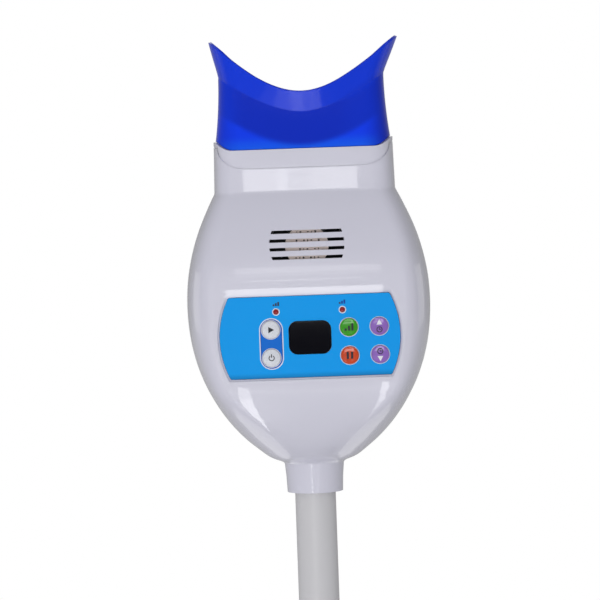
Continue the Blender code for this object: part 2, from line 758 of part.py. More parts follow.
def screw_profile(head_radius, head_height, shank_radius, length):
    """A screw standing on its point, the underside of its head at height 0."""
    return [(0, head_height), (head_radius, head_height), (head_radius, 0), (shank_radius, 0),
            (shank_radius, -length), (0, -length)]


def facing(direction):
    """Turns +Z to a direction."""
    return Vector(direction).to_track_quat("Z", "Y").to_matrix().to_4x4()


def add_screws(name, profile, places, direction, parent):
    """A numbered screw at each place, its head towards a direction."""
    shared = turned_mesh(profile, segments=SMALL_SEGMENTS)
    turn = facing(direction).to_euler()
    for number, place in enumerate(places, 1):
        piece(f"{name}_{number}", shared.copy(), (STEEL, 0.3, 1.0), parent, place, turn)


# Stand: sizes that follow from the driving dimensions
WEIGHT_BASE_Z = PAD_THICKNESS + GAP
WEIGHT_TOP_Z = WEIGHT_BASE_Z + WEIGHT_THICKNESS
SOCKET_BASE_Z = WEIGHT_TOP_Z + GAP
FLOOR_TOP_Z = SOCKET_BASE_Z + SOCKET_FLOOR
LINER_INNER = POLE_RADIUS + GAP
LINER_OUTER = LINER_INNER + LINER_WALL
SOCKET_INNER = LINER_OUTER + GAP
SOCKET_OUTER = SOCKET_INNER + SOCKET_WALL
BASE_LEAD_Z = FLOOR_TOP_Z + LEAD_RADIUS + GAP + GAP
LINER_BASE_Z = BASE_LEAD_Z + LEAD_RADIUS + GAP + GAP
POLE_BOTTOM_Z = LINER_BASE_Z + POLE_FOOT_GAP
COVER_LIP_Z = WEIGHT_BASE_Z + COVER_LIP_HEIGHT
BOSS_END_X = SOCKET_OUTER + CLAMP_BOSS_LENGTH
SHOE_INNER_X = POLE_RADIUS + GAP
SHOE_OUTER_X = SHOE_INNER_X + SHOE_THICKNESS
SHOE_TRAVEL = STUD_PITCH
SHOE_BORE_END_X = SHOE_OUTER_X + SHOE_TRAVEL + GAP
STUD_START_X = SHOE_OUTER_X + GAP
KNOB_START_X = BOSS_END_X + KNOB_STANDOFF
INLET_OUTER_Y = COVER_RADIUS + GAP
INLET_INNER_Y = INLET_OUTER_Y - INLET_DEPTH
COVER_TOP_Z = COVER_LIP_Z + ellipse(COVER_DOME_HEIGHT, SOCKET_OUTER + GAP, COVER_RADIUS)


def around(count, radius, height, phase=0.0):
    """Places evenly round the pole's axis."""
    return [Vector((radius * cos(phase + tau * step / count),
                    radius * sin(phase + tau * step / count), height)) for step in range(count)]


def make_pad_and_weight():
    pad = turned_mesh([(0, PAD_THICKNESS), (PAD_RADIUS, PAD_THICKNESS), (PAD_RADIUS, 0), (0, 0)])
    piece("base_pad", pad, (BLACK, 0.8))
    disc = turned_mesh([(0, WEIGHT_TOP_Z), (WEIGHT_RADIUS, WEIGHT_TOP_Z),
                        (WEIGHT_RADIUS, WEIGHT_BASE_Z), (0, WEIGHT_BASE_Z)])
    weight = piece("base_weight", disc, (GREY, 0.6, 1.0))
    below = WEIGHT_BASE_Z - OVERRUN
    above = WEIGHT_TOP_Z + OVERRUN
    cut(weight, rods_mesh(BOLT_RADIUS + GAP, [((0, 0, below), (0, 0, above))]))
    pocket_top = WEIGHT_BASE_Z + BOLT_HEAD_HEIGHT + GAP
    cut(weight, rods_mesh(BOLT_HEAD_RADIUS + GAP, [((0, 0, below), (0, 0, pocket_top))], FINE_SEGMENTS))
    half = INLET_WIDTH * HALF + GAP
    notch_y = (INLET_INNER_Y + SOCKET_OUTER) * HALF
    cut(weight, box_mesh((-half, notch_y, below), (half, WEIGHT_RADIUS + OVERRUN, above)))


def make_base_cover():
    hole = SOCKET_OUTER + GAP
    start = asin(hole / COVER_RADIUS)
    angles = [mix(start, pi * HALF, step / COVER_DOME_STEPS) for step in range(COVER_DOME_STEPS + 1)]
    profile = [(COVER_RADIUS * sin(angle), COVER_LIP_Z + COVER_DOME_HEIGHT * cos(angle))
               for angle in angles]
    profile.append((COVER_RADIUS, WEIGHT_BASE_Z))
    sheet = turned_object(profile, False, SEGMENTS)
    thicken(sheet, COVER_WALL)
    cover = piece("base_cover", evaluated_mesh(sheet), (WHITE, 0.25))
    half_width = INLET_WIDTH * HALF + GAP
    half_height = INLET_HEIGHT * HALF + GAP
    cut(cover, box_mesh((-half_width, INLET_INNER_Y, INLET_Z - half_height),
                        (half_width, COVER_RADIUS + OVERRUN, INLET_Z + half_height)))


def make_base_bolt():
    seat = WEIGHT_BASE_Z + BOLT_HEAD_HEIGHT
    profile = screw_profile(BOLT_HEAD_RADIUS, BOLT_HEAD_HEIGHT, BOLT_RADIUS,
                            FLOOR_TOP_Z - BOLT_TIP_WALL - GAP - seat)
    piece("base_bolt", turned_mesh(profile, segments=FINE_SEGMENTS), (STEEL, 0.3, 1.0), None,
          (0, 0, seat), (pi, 0, 0))


def make_pole_socket():
    shoulder_low = COVER_TOP_Z + GAP
    shoulder_top = shoulder_low + SHOULDER_THICKNESS
    shoulder = SOCKET_OUTER + SHOULDER_REACH
    profile = [(0, FLOOR_TOP_Z), (SOCKET_INNER, FLOOR_TOP_Z), (SOCKET_INNER, SOCKET_HEIGHT),
               (SOCKET_OUTER, SOCKET_HEIGHT), (SOCKET_OUTER, shoulder_top), (shoulder, shoulder_top),
               (shoulder, shoulder_low), (SOCKET_OUTER, shoulder_low), (SOCKET_OUTER, SOCKET_BASE_Z),
               (0, SOCKET_BASE_Z)]
    socket = piece("pole_socket", turned_mesh(profile), (PALE, 0.3, 0.2))
    wall_middle = SOCKET_INNER + SOCKET_WALL * HALF
    join(socket, rods_mesh(CLAMP_BOSS_RADIUS, [((wall_middle, 0, CLAMP_HEIGHT),
                                                (BOSS_END_X, 0, CLAMP_HEIGHT))], FINE_SEGMENTS))
    cut(socket, rods_mesh(SHOE_RADIUS + GAP, [((0, 0, CLAMP_HEIGHT), (SHOE_BORE_END_X, 0, CLAMP_HEIGHT))]))
    cut(socket, rods_mesh(STUD_RADIUS + GAP, [((0, 0, CLAMP_HEIGHT),
                                               (BOSS_END_X + OVERRUN, 0, CLAMP_HEIGHT))]))
    cut(socket, rods_mesh(LEAD_RADIUS + GAP, [((0, 0, BASE_LEAD_Z), (0, SOCKET_OUTER + OVERRUN, BASE_LEAD_Z))]))
    cut(socket, rods_mesh(BOLT_RADIUS + GAP, [((0, 0, SOCKET_BASE_Z - OVERRUN),
                                               (0, 0, FLOOR_TOP_Z - BOLT_TIP_WALL))]))


def make_socket_liner():
    rim_low = SOCKET_HEIGHT + GAP
    rim_top = rim_low + LINER_RIM_THICKNESS
    rim_radius = LINER_OUTER + LINER_RIM_LAP
    profile = [(LINER_INNER, rim_top), (rim_radius, rim_top), (rim_radius, rim_low),
               (LINER_OUTER, rim_low), (LINER_OUTER, LINER_BASE_Z), (LINER_INNER, LINER_BASE_Z)]
    liner = piece("socket_liner", turned_mesh(profile, True), (PALE, 0.5))
    cut(liner, rods_mesh(SHOE_RADIUS + GAP, [((0, 0, CLAMP_HEIGHT), (SOCKET_OUTER, 0, CLAMP_HEIGHT))]))


def make_clamp():
    screw = empty("clamp_screw_axis", None, (SHOE_INNER_X, 0, CLAMP_HEIGHT), (0, pi * HALF, 0))
    shoe = [(0, SHOE_THICKNESS), (SHOE_RADIUS, SHOE_THICKNESS), (SHOE_RADIUS, 0), (0, 0)]
    piece("clamp_shoe", turned_mesh(shoe, segments=SMALL_SEGMENTS), (PALE, 0.5), screw)
    base = KNOB_START_X - SHOE_INNER_X
    tip = STUD_START_X - SHOE_INNER_X
    top = base + KNOB_LENGTH
    edge = KNOB_RADIUS - KNOB_ROUNDING
    profile = [(0, top), (edge, top), (KNOB_RADIUS, top - KNOB_ROUNDING), (KNOB_RADIUS, base),
               (STUD_RADIUS, base), (STUD_RADIUS, tip), (0, tip)]
    knob = piece("clamp_knob", turned_mesh(profile, segments=FINE_SEGMENTS), (BLACK, 0.45), screw)
    reach = KNOB_RADIUS + KNOB_GRIP_RADIUS - KNOB_GRIP_DEPTH
    grips = [(place, (place.x, place.y, top + OVERRUN))
             for place in around(KNOB_GRIPS, reach, base - OVERRUN)]
    cut(knob, rods_mesh(KNOB_GRIP_RADIUS, grips))


def make_inlet():
    half = INLET_WIDTH * HALF
    rise = INLET_HEIGHT * HALF
    block = box_mesh((-half, INLET_INNER_Y, INLET_Z - rise), (half, INLET_OUTER_Y, INLET_Z + rise))
    inlet = piece("dc_inlet", block, (BLACK, 0.4))
    floor_y = INLET_OUTER_Y - INLET_HOLE_DEPTH
    cut(inlet, rods_mesh(INLET_HOLE_RADIUS, [((0, floor_y, INLET_Z), (0, INLET_OUTER_Y + OVERRUN, INLET_Z))]))
    join(inlet, rods_mesh(INLET_PIN_RADIUS, [((0, floor_y - OVERRUN, INLET_Z),
                                              (0, INLET_OUTER_Y - OVERRUN, INLET_Z))]))
    end_z = POLE_BOTTOM_Z - GAP
    start = (0, INLET_INNER_Y - LEAD_END_GAP, INLET_Z)
    inner = (0, SOCKET_OUTER + LEAD_RADIUS * 2, BASE_LEAD_Z)
    climb = (INLET_INNER_Y - SOCKET_OUTER) * HALF
    points = bend(start, inner, (0, -LEAD_RADIUS * 4, 0), (0, climb, 0))
    turn = bend((0, SOCKET_INNER, BASE_LEAD_Z), (0, 0, end_z), (0, -SOCKET_INNER, 0), (0, 0, -LEAD_RADIUS))
    piece("base_lead", tube_mesh(points + turn, LEAD_RADIUS), (BLACK, 0.5))


# Pole: sizes that follow from the head's neck and the rib that rests on it
POLE_TOP_Z = NECK_BASE_Z + THRUST_H - GAP
RING_INNER = POLE_RADIUS + GAP
RING_OUTER = RING_INNER + COLLAR_RING_WALL
RING_TOP_Z = POLE_TOP_Z - COLLAR_RING_HEIGHT * HALF
RING_BASE_Z = RING_TOP_Z - COLLAR_RING_HEIGHT
RING_MIDDLE_Z = (RING_TOP_Z + RING_BASE_Z) * HALF
LUG_REACH = RING_OUTER + STOP_LUG_REACH


def make_pole():
    slide = empty("pole_axis", None, (0, 0, POLE_BOTTOM_Z))
    length = POLE_TOP_Z - POLE_BOTTOM_Z
    bore = POLE_RADIUS - POLE_WALL
    pole = piece("pole", ring_mesh(bore, POLE_RADIUS, 0, length), (PALE, 0.35), slide)
    pin_z = RING_MIDDLE_Z - POLE_BOTTOM_Z
    reach = RING_OUTER + OVERRUN
    pin_hole = [((-reach, 0, pin_z), (reach, 0, pin_z))]
    cut(pole, rods_mesh(CROSS_PIN_RADIUS + GAP, pin_hole))
    base = RING_BASE_Z - POLE_BOTTOM_Z
    top = RING_TOP_Z - POLE_BOTTOM_Z
    ring = piece("retaining_collar", ring_mesh(RING_INNER, RING_OUTER, base, top), (STEEL, 0.35, 1.0), slide)
    half = STOP_LUG_WIDTH * HALF
    root = RING_OUTER - COLLAR_RING_WALL * HALF
    join(ring, box_mesh((-half, -LUG_REACH, base + SINK), (half, -root, top - SINK)))
    cut(ring, rods_mesh(CROSS_PIN_RADIUS + GAP, pin_hole))
    pin_end = RING_OUTER - GAP
    piece("cross_pin", rods_mesh(CROSS_PIN_RADIUS, [((-pin_end, 0, pin_z), (pin_end, 0, pin_z))]),
          (STEEL, 0.3, 1.0), slide)
    wall_x = bore - LEAD_RADIUS - GAP
    lead = [(0, 0, 0), (0, LEAD_RADIUS, length / 8), (0, wall_x, length / 4), (0, wall_x, length * HALF),
            (0, wall_x, pin_z), (0, wall_x, length - LEAD_RADIUS)]
    piece("pole_lead", tube_mesh(lead, LEAD_RADIUS), (BLACK, 0.5), slide)


# Head
HEAD = None
PANEL_Y = -FRONT_DEPTH
RECESS_Y = PANEL_Y + RECESS_DEPTH
OVERLAY_BACK_Y = RECESS_Y - GAP
OVERLAY_FRONT_Y = OVERLAY_BACK_Y - OVERLAY_THICKNESS
BACKING_Y = PANEL_Y + BACKING_REACH
BOARD_FRONT_Y = PANEL_Y + BOARD_SETBACK
BOARD_BACK_Y = BOARD_FRONT_Y + BOARD_THICKNESS
KEY_HOLE_RADIUS = KEY_RADIUS + GAP
KEY_PLACES = {
    "start_button": (-KEY_INNER_X, KEY_UPPER_H),
    "power_button": (-KEY_INNER_X, -KEY_LOWER_H),
    "level_button": (KEY_INNER_X, KEY_UPPER_H),
    "pause_button": (KEY_INNER_X, -KEY_LOWER_H),
    "time_up_button": (KEY_OUTER_X, KEY_UPPER_H),
    "time_down_button": (KEY_OUTER_X, -KEY_LOWER_H),
}
KEY_COLOURS = {
    "start_button": KEY_WHITE, "power_button": KEY_WHITE, "level_button": GREEN,
    "pause_button": RED_ORANGE, "time_up_button": PURPLE, "time_down_button": PURPLE,
}
SHELL_SCREWS = [(side * x, height) for side in (-1, 1)
                for x, height in ((UPPER_BOSS_X, UPPER_BOSS_H), (LOWER_BOSS_X, LOWER_BOSS_H))]
BOARD_SCREWS = [(side * BOARD_BOSS_X, height) for side in (-1, 1)
                for height in (PANEL_H + BOARD_BOSS_UPPER_H, PANEL_H - BOARD_BOSS_LOWER_H)]
DRIVER_SCREWS = [(side * (DRIVER_HALF_WIDTH - DRIVER_BOSS_INSET),
                  DRIVER_H + side * (DRIVER_HALF_HEIGHT - DRIVER_BOSS_INSET)) for side in (-1, 1)]
PARTING_GAP = GAP * HALF
BIG = COLLAR_BASE_H + PORT_SIDE_H


def panel_outline(margin):
    """The keypad's outline: level top and bottom, ends bowed outwards."""
    half_height = PANEL_HALF_HEIGHT
    radius = (half_height ** 2 + PANEL_BULGE ** 2) / (PANEL_BULGE + PANEL_BULGE)
    centre_x = PANEL_HALF_WIDTH + PANEL_BULGE - radius
    outer = radius + margin
    top = half_height + margin
    reach = asin(top / outer)
    angles = [mix(-reach, reach, step / PANEL_ARC_STEPS) for step in range(PANEL_ARC_STEPS + 1)]
    right = [(centre_x + outer * cos(angle), outer * sin(angle)) for angle in angles]
    left = [(-x, -y) for x, y in right]
    return right + left


def rounded_outline(width, height, corner):
    """A rectangle with rounded corners, anticlockwise."""
    outline = []
    for quarter, (x_side, y_side) in enumerate(((1, 1), (-1, 1), (-1, -1), (1, -1))):
        for step in range(CORNER_ARC_STEPS + 1):
            angle = (quarter + step / CORNER_ARC_STEPS) * pi * HALF
            outline.append((x_side * (width * HALF - corner) + corner * cos(angle),
                            y_side * (height * HALF - corner) + corner * sin(angle)))
    return outline


def window_outline(margin):
    return rounded_outline(WINDOW_WIDTH + margin + margin, WINDOW_HEIGHT + margin + margin,
                           WINDOW_CORNER + margin)


def key_spans(start_y, end_y):
    return [((x, start_y, PANEL_H + height), (x, end_y, PANEL_H + height))
            for x, height in KEY_PLACES.values()]


def lamp_spans(start_y, end_y):
    height = PANEL_H + LAMP_H
    return [((side * LAMP_X, start_y, height), (side * LAMP_X, end_y, height)) for side in (-1, 1)]


def fan_tilt():
    """Lean of the front wall at the air slots."""
    step = SLOT_HEIGHT
    fall = front_depth_at(VENT_H - step) - front_depth_at(VENT_H + step)
    return atan(fall / (step + step))


def fan_matrix():
    """Places the fan: its +Z points out through the wall, 0 at the fan's front face."""
    lean = fan_tilt()
    outward = Vector((0, -cos(lean), sin(lean)))
    wall = Vector((0, -front_depth_at(VENT_H), VENT_H))
    turn = Matrix.Rotation(pi * HALF - lean, 4, "X")
    return Matrix.Translation(wall - outward * (WALL + FAN_SETBACK)) @ turn


FAN_HOLES = [(x * FAN_HOLE_SPACING * HALF, y * FAN_HOLE_SPACING * HALF)
             for x in (-1, 1) for y in (-1, 1)]
FAN_SCREWS = [(x, y) for x, y in FAN_HOLES if x * y > 0]


def fan_wall_distance(x, y):
    """Distance of the wall's outer face from the fan's front face, at a place on the fan."""
    place = fan_matrix() @ Vector((x, y, 0))
    return (surface_depth(x, place.z, -1) + place.y) * cos(fan_tilt())


FAN_PILOT_END = min(fan_wall_distance(x, y + step * SMALL_SHANK_RADIUS)
                    for x, y in FAN_HOLES for step in (-1, 1)) - WALL * HALF


def head_shell(name, side):
    """Half of the head's casing as one sheet, cut off level at the parting plane."""
    columns = half_positions(side)
    rows = []
    for height in head_rows():
        row = []
        for sign, position in columns:
            x, y = head_point(height, side, position)
            row.append((sign * x, side * y, height))
        edge = -side * PARTING_LAP
        row.insert(0, (row[0][0], edge, height))
        row.append((row[-1][0], edge, height))
        rows.append(row)
    shell = piece(name, grid_mesh(rows), (WHITE, 0.2), HEAD)
    thicken(shell, WALL)
    low = (-BIG, min(side * -BIG, side * PARTING_GAP), -BIG)
    high = (BIG, max(side * -BIG, side * PARTING_GAP), BIG)
    cut(shell, box_mesh(low, high))
    return shell


def seam_mesh(margin):
    """The space above the U-shaped seam, in front of the parting plane."""
    reach = COLLAR_TOP_HALF_WIDTH - WALL - GAP - GAP
    rise = SEAM_SIDE_H - SEAM_FRONT_H
    steps = range(CORNER_STEPS + 1)
    arc = [(SEAM_FLAT_HALF_WIDTH + (reach - SEAM_FLAT_HALF_WIDTH) * sin(step / CORNER_STEPS * pi * HALF),
            SEAM_SIDE_H - rise * cos(step / CORNER_STEPS * pi * HALF) + margin) for step in steps]
    far = COLLAR_TOP_HALF_WIDTH + OVERRUN + OVERRUN
    top = PORT_SIDE_H + OVERRUN + OVERRUN
    right = arc + [(far, SEAM_SIDE_H + margin), (far, top)]
    left = [(-x, y) for x, y in reversed(right)]
    return upright_plate(right + left, -(COLLAR_DEPTH + OVERRUN), -PARTING_GAP, 0.0)


def within_wall(mesh, side):
    """Trim ribs and bosses so that they end inside the casing's wall."""
    columns = half_positions(side)
    rows = []
    for height in head_rows():
        points = [head_point(height, side, position, WALL * HALF) for _, position in columns]
        rows.append([(sign * x, side * y, height) for (sign, _), (x, y) in zip(columns, points)])
    source = bpy.data.objects.new("ribs", mesh)
    guide = bpy.data.objects.new("core", closed_mesh(grid_mesh(rows, loop_columns=True)))
    for thing, home in ((source, PARTS), (guide, CUTTERS)):
        home.objects.link(thing)
    change = source.modifiers.new("trim", "BOOLEAN")
    change.operation = "INTERSECT"
    change.solver = "EXACT"
    change.object = guide
    trimmed = evaluated_mesh(source)
    bpy.data.objects.remove(guide, do_unlink=True)
    return trimmed


def add_thrust_rib(bm, side, reach):
    """Half of the shelf that rests on the pole's end."""
    ends = sorted((side * PARTING_GAP, side * reach))
    add_box(bm, (-THRUST_HALF_WIDTH, ends[0], THRUST_H),
            (THRUST_HALF_WIDTH, ends[1], THRUST_H + THRUST_THICKNESS))


def thrust_hole_mesh():
    return rods_mesh(THRUST_HOLE_RADIUS, [((0, 0, THRUST_H - OVERRUN),
                                           (0, 0, THRUST_H + THRUST_THICKNESS + OVERRUN))])


def add_mesh(bm, mesh, place):
    """Add a copy of a mesh at a place."""
    copy = mesh.copy()
    copy.transform(place)
    bm.from_mesh(copy)
    bpy.data.meshes.remove(copy)


def make_front_shell():
    shell = head_shell("front_shell", -1)
    sunk_y = RECESS_Y + SINK * HALF
    join(shell, upright_plate(panel_outline(PANEL_GROOVE + BACKING_MARGIN), sunk_y, BACKING_Y, PANEL_H))
    boss_end = BOARD_FRONT_Y - GAP
    far = -FRONT_DEPTH

    def ribs(bm):
        for x, height in SHELL_SCREWS:
            add_rod(bm, SHELL_BOSS_RADIUS, (x, -PARTING_GAP, height), (x, far, height), BOSS_SEGMENTS)
        for x, height in BOARD_SCREWS:
            add_rod(bm, BOARD_BOSS_RADIUS, (x, BACKING_Y - SINK, height), (x, boss_end, height))
        for x, y in FAN_HOLES:
            span = [fan_matrix() @ Vector((x, y, z)) for z in (GAP, FAN_SETBACK + WALL + WALL)]
            add_rod(bm, FAN_BOSS_RADIUS, *span)
        add_thrust_rib(bm, -1, FRONT_DEPTH)
    join(shell, within_wall(to_mesh(ribs), -1))
    cut(shell, upright_plate(panel_outline(PANEL_GROOVE), PANEL_Y - OVERRUN, RECESS_Y, PANEL_H))
    behind = BACKING_Y + OVERRUN
    front = PANEL_Y - OVERRUN

    def holes(bm):
        for start, end in key_spans(front, behind):
            add_rod(bm, KEY_HOLE_RADIUS, start, end, FINE_SEGMENTS)
        for start, end in lamp_spans(front, behind):
            add_rod(bm, LAMP_RADIUS + GAP, start, end)
        for x, height in SHELL_SCREWS:
            add_rod(bm, SHELL_SHANK_RADIUS + GAP, (x, OVERRUN, height), (x, -SHELL_SCREW_LENGTH, height),
                    PILOT_SEGMENTS)
        for x, height in BOARD_SCREWS:
            add_rod(bm, SMALL_SHANK_RADIUS + GAP, (x, boss_end + OVERRUN, height), (x, BACKING_Y, height),
                    PILOT_SEGMENTS)
        for x, y in FAN_HOLES:
            span = [fan_matrix() @ Vector((x, y, z)) for z in (-OVERRUN, FAN_PILOT_END)]
            add_rod(bm, SMALL_SHANK_RADIUS + GAP, *span, PILOT_SEGMENTS)
        add_front_slots(bm)
    cut(shell, to_mesh(holes))
    cut(shell, upright_plate(window_outline(GAP), front, behind, PANEL_H - WINDOW_DROP))
    cut(shell, thrust_hole_mesh())
    cut(shell, seam_mesh(0.0))


def add_front_slots(bm):
    depth = front_depth_at(VENT_H)
    reach = WALL * 3 + OVERRUN
    for row, length in ((1.5, SLOT_LENGTH_OUTER), (0.5, SLOT_LENGTH_INNER),
                        (-0.5, SLOT_LENGTH_INNER), (-1.5, SLOT_LENGTH_OUTER)):
        middle = VENT_H + row * SLOT_PITCH
        add_box(bm, (-length * HALF, -depth - reach, middle - SLOT_HEIGHT * HALF),
                (length * HALF, -depth + reach, middle + SLOT_HEIGHT * HALF))


def add_rear_slots(bm):
    for row in range(REAR_SLOTS):
        middle = REAR_SLOT_H + (row - (REAR_SLOTS - 1) * HALF) * REAR_SLOT_PITCH
        depth = rear_depth_at(middle)
        add_box(bm, (-REAR_SLOT_LENGTH * HALF, depth * HALF, middle - REAR_SLOT_HEIGHT * HALF),
                (REAR_SLOT_LENGTH * HALF, depth + OVERRUN, middle + REAR_SLOT_HEIGHT * HALF))


def make_rear_shell():
    shell = head_shell("rear_shell", 1)
    far = REAR_DEPTH + OVERRUN
    driver_y = DRIVER_Y + BOARD_THICKNESS + GAP
    half = STOP_RIB_WIDTH * HALF

    def ribs(bm):
        for x, height in SHELL_SCREWS:
            add_rod(bm, SHELL_BOSS_RADIUS, (x, PARTING_GAP, height), (x, far, height), BOSS_SEGMENTS)
        for x, height in DRIVER_SCREWS:
            add_rod(bm, DRIVER_BOSS_RADIUS, (x, driver_y, height), (x, far, height))
        for x, height in sink_screw_places():
            add_rod(bm, BOARD_BOSS_RADIUS, (x, SINK_BACK_Y + GAP, height), (x, far, height))
        add_thrust_rib(bm, 1, REAR_DEPTH)
        add_box(bm, (-half, RING_OUTER + GAP * 3, RING_BASE_Z - NECK_BASE_Z),
                (half, REAR_DEPTH, RING_TOP_Z - NECK_BASE_Z))
    join(shell, within_wall(to_mesh(ribs), 1))
    through = turned_mesh(screw_profile(SHELL_HEAD_RADIUS + GAP, far, SHELL_SHANK_RADIUS + GAP,
                                        SHELL_BOSS_SEAT + OVERRUN), segments=BOSS_SEGMENTS)

    def holes(bm):
        for x, height in SHELL_SCREWS:
            add_mesh(bm, through, Matrix.Translation((x, SHELL_BOSS_SEAT, height)) @ facing((0, 1, 0)))
        for x, height in DRIVER_SCREWS:
            add_rod(bm, SMALL_SHANK_RADIUS + GAP, (x, driver_y - OVERRUN, height),
                    (x, driver_y + BOARD_BOSS_RADIUS * 2, height), PILOT_SEGMENTS)
        for x, height in sink_screw_places():
            add_rod(bm, SMALL_SHANK_RADIUS + GAP, (x, SINK_BACK_Y - OVERRUN, height),
                    (x, SINK_BACK_Y + BOARD_BOSS_RADIUS, height), PILOT_SEGMENTS)
        add_rear_slots(bm)
    cut(shell, to_mesh(holes))
    cut(shell, thrust_hole_mesh())
    top = PORT_SIDE_H
    cut(shell, box_mesh((-BIG, -OVERRUN, top), (BIG, REAR_DEPTH, top + BIG)))


def make_shell_screws():
    profile = screw_profile(SHELL_HEAD_RADIUS, SHELL_HEAD_HEIGHT, SHELL_SHANK_RADIUS, SHELL_SCREW_LENGTH)
    seat = SHELL_BOSS_SEAT + GAP
    places = [(x, seat, height) for x, height in SHELL_SCREWS]
    add_screws("shell_screw", profile, places, (0, 1, 0), HEAD)


def make_neck_bush():
    inner = POLE_RADIUS + GAP
    outer = NECK_RADIUS_BOTTOM - WALL - GAP
    top = RING_BASE_Z - NECK_BASE_Z - GAP
    rim_low = top - BUSH_RIM_THICKNESS
    rim = outer + BUSH_RIM_REACH
    profile = [(inner, top), (rim, top), (rim, rim_low), (outer, rim_low), (outer, BUSH_BASE_H),
               (inner, BUSH_BASE_H)]
    piece("neck_bush", turned_mesh(profile, True), (PALE, 0.5), HEAD)


def port_height(position):
    """Height of the port's lip at a column of the front, lowest in the middle."""
    share = collar_point(0.0, position)[0] / COLLAR_TOP_HALF_WIDTH
    corner = max((share - PORT_FLAT_SHARE) / (1 - PORT_FLAT_SHARE), 0.0)
    return mix(PORT_SIDE_H, PORT_FRONT_H, ellipse(1.0, corner, 1.0))


def make_port_bezel():
    """The white band in the U-shaped seam, on a ring that goes round inside the collar."""
    low = SEAM_FRONT_H - OVERRUN
    outer_wall = WALL + GAP + BAND_ROOT_WALL
    root = HOOD_SEAT_H - SINK
    rows = [[] for _ in range(6)]
    columns = half_positions(-1)
    for sign, position in columns:
        for row, (inset, height) in zip(rows, ((0, low), (0, None), (WALL, None), (WALL, root),
                                               (outer_wall, root), (outer_wall, low))):
            width_height = HOOD_SEAT_H if height is None else height
            outer_x, outer_y = head_point(max(width_height, PORT_FRONT_H), -1, position)
            if inset:
                x, y = collar_point(inset, position)
            else:
                x, y = outer_x, outer_y
            level = port_height(position) if height is None else height
            row.append((sign * x, -y, level))
    bezel = piece("port_bezel", closed_mesh(grid_mesh(rows, loop_rows=True)), (WHITE, 0.2), HEAD)
    keep(bezel, seam_mesh(GAP))
    join(bezel, port_ring_mesh())


def collar_loop(inset, height):
    """The collar's whole section at an inset, as a closed row of points."""
    row = []
    for side in (-1, 1):
        for sign, position in half_positions(side)[:-1]:
            x, y = collar_point(inset, position)
            row.append((sign * x, side * y, height))
    return row


def port_ring_mesh():
    outer = WALL + GAP
    inner = outer + PORT_RING_WALL
    flange = inner + PORT_FLANGE_REACH
    flange_top = PORT_RING_BASE_H + PORT_FLANGE_THICKNESS
    rows = [collar_loop(outer, PORT_RING_BASE_H), collar_loop(outer, HOOD_SEAT_H),
            collar_loop(inner, HOOD_SEAT_H), collar_loop(inner, flange_top),
            collar_loop(flange, flange_top), collar_loop(flange, PORT_RING_BASE_H)]
    return closed_mesh(grid_mesh(rows, loop_rows=True, loop_columns=True))


def closed_mesh(mesh):
    """Fill a loft's open ends and point its faces outwards."""
    bm = bmesh.new()
    bm.from_mesh(mesh)
    bmesh.ops.holes_fill(bm, edges=[edge for edge in bm.edges if edge.is_boundary])
    bmesh.ops.recalc_face_normals(bm, faces=bm.faces)
    bm.to_mesh(mesh)
    bm.free()
    return mesh


def make_light_window():
    inset = WALL + GAP + PORT_RING_WALL + GAP
    low = PORT_RING_BASE_H + PORT_FLANGE_THICKNESS + GAP
    rows = [collar_loop(inset, low), collar_loop(inset, low + WINDOW_PLATE_THICKNESS)]
    piece("light_window", closed_mesh(grid_mesh(rows, loop_columns=True)), (KEY_WHITE, 0.05, 0.0, 0.9), HEAD)


def make_reflector_tray():
    top_inset = WALL + GAP + PORT_RING_WALL + TRAY_TOP_INSET
    half_width = COLLAR_TOP_HALF_WIDTH - top_inset
    half_depth = COLLAR_DEPTH - top_inset
    base = LED_BOARD_H + BOARD_THICKNESS + GAP
    top = PORT_RING_BASE_H - GAP

    def row(width, depth, height):
        return [(-width, -depth, height), (width, -depth, height),
                (width, depth, height), (-width, depth, height)]
    mesh = grid_mesh([row(TRAY_BASE_HALF_WIDTH, TRAY_BASE_HALF_DEPTH, base),
                      row(half_width, half_depth, top)], loop_columns=True)
    tray = piece("reflector_tray", mesh, (STEEL, 0.1, 1.0), HEAD)
    thicken(tray, TRAY_WALL)
    margin = GAP
    cut(tray, box_mesh((-BIG, -BIG, base - BIG), (BIG, BIG, base + margin)))
    cut(tray, box_mesh((-BIG, -BIG, top - margin), (BIG, BIG, top + BIG)))


def emitter_places():
    return [Vector(((column - (EMITTER_COLUMNS - 1) * HALF) * EMITTER_PITCH_X,
                    (row - (EMITTER_ROWS - 1) * HALF) * EMITTER_PITCH_Y,
                    LED_BOARD_H + BOARD_THICKNESS - SINK))
            for column in range(EMITTER_COLUMNS) for row in range(EMITTER_ROWS)]


def led_screw_places(height):
    return [(side * LED_SCREW_X, 0, height) for side in (-1, 1)]


def sink_screw_places():
    height = LED_BOARD_H - GAP - SINK_EAR_HEIGHT * HALF - SINK_BASE_THICKNESS * HALF
    return [(side * SINK_BOSS_X, height) for side in (-1, 1)]


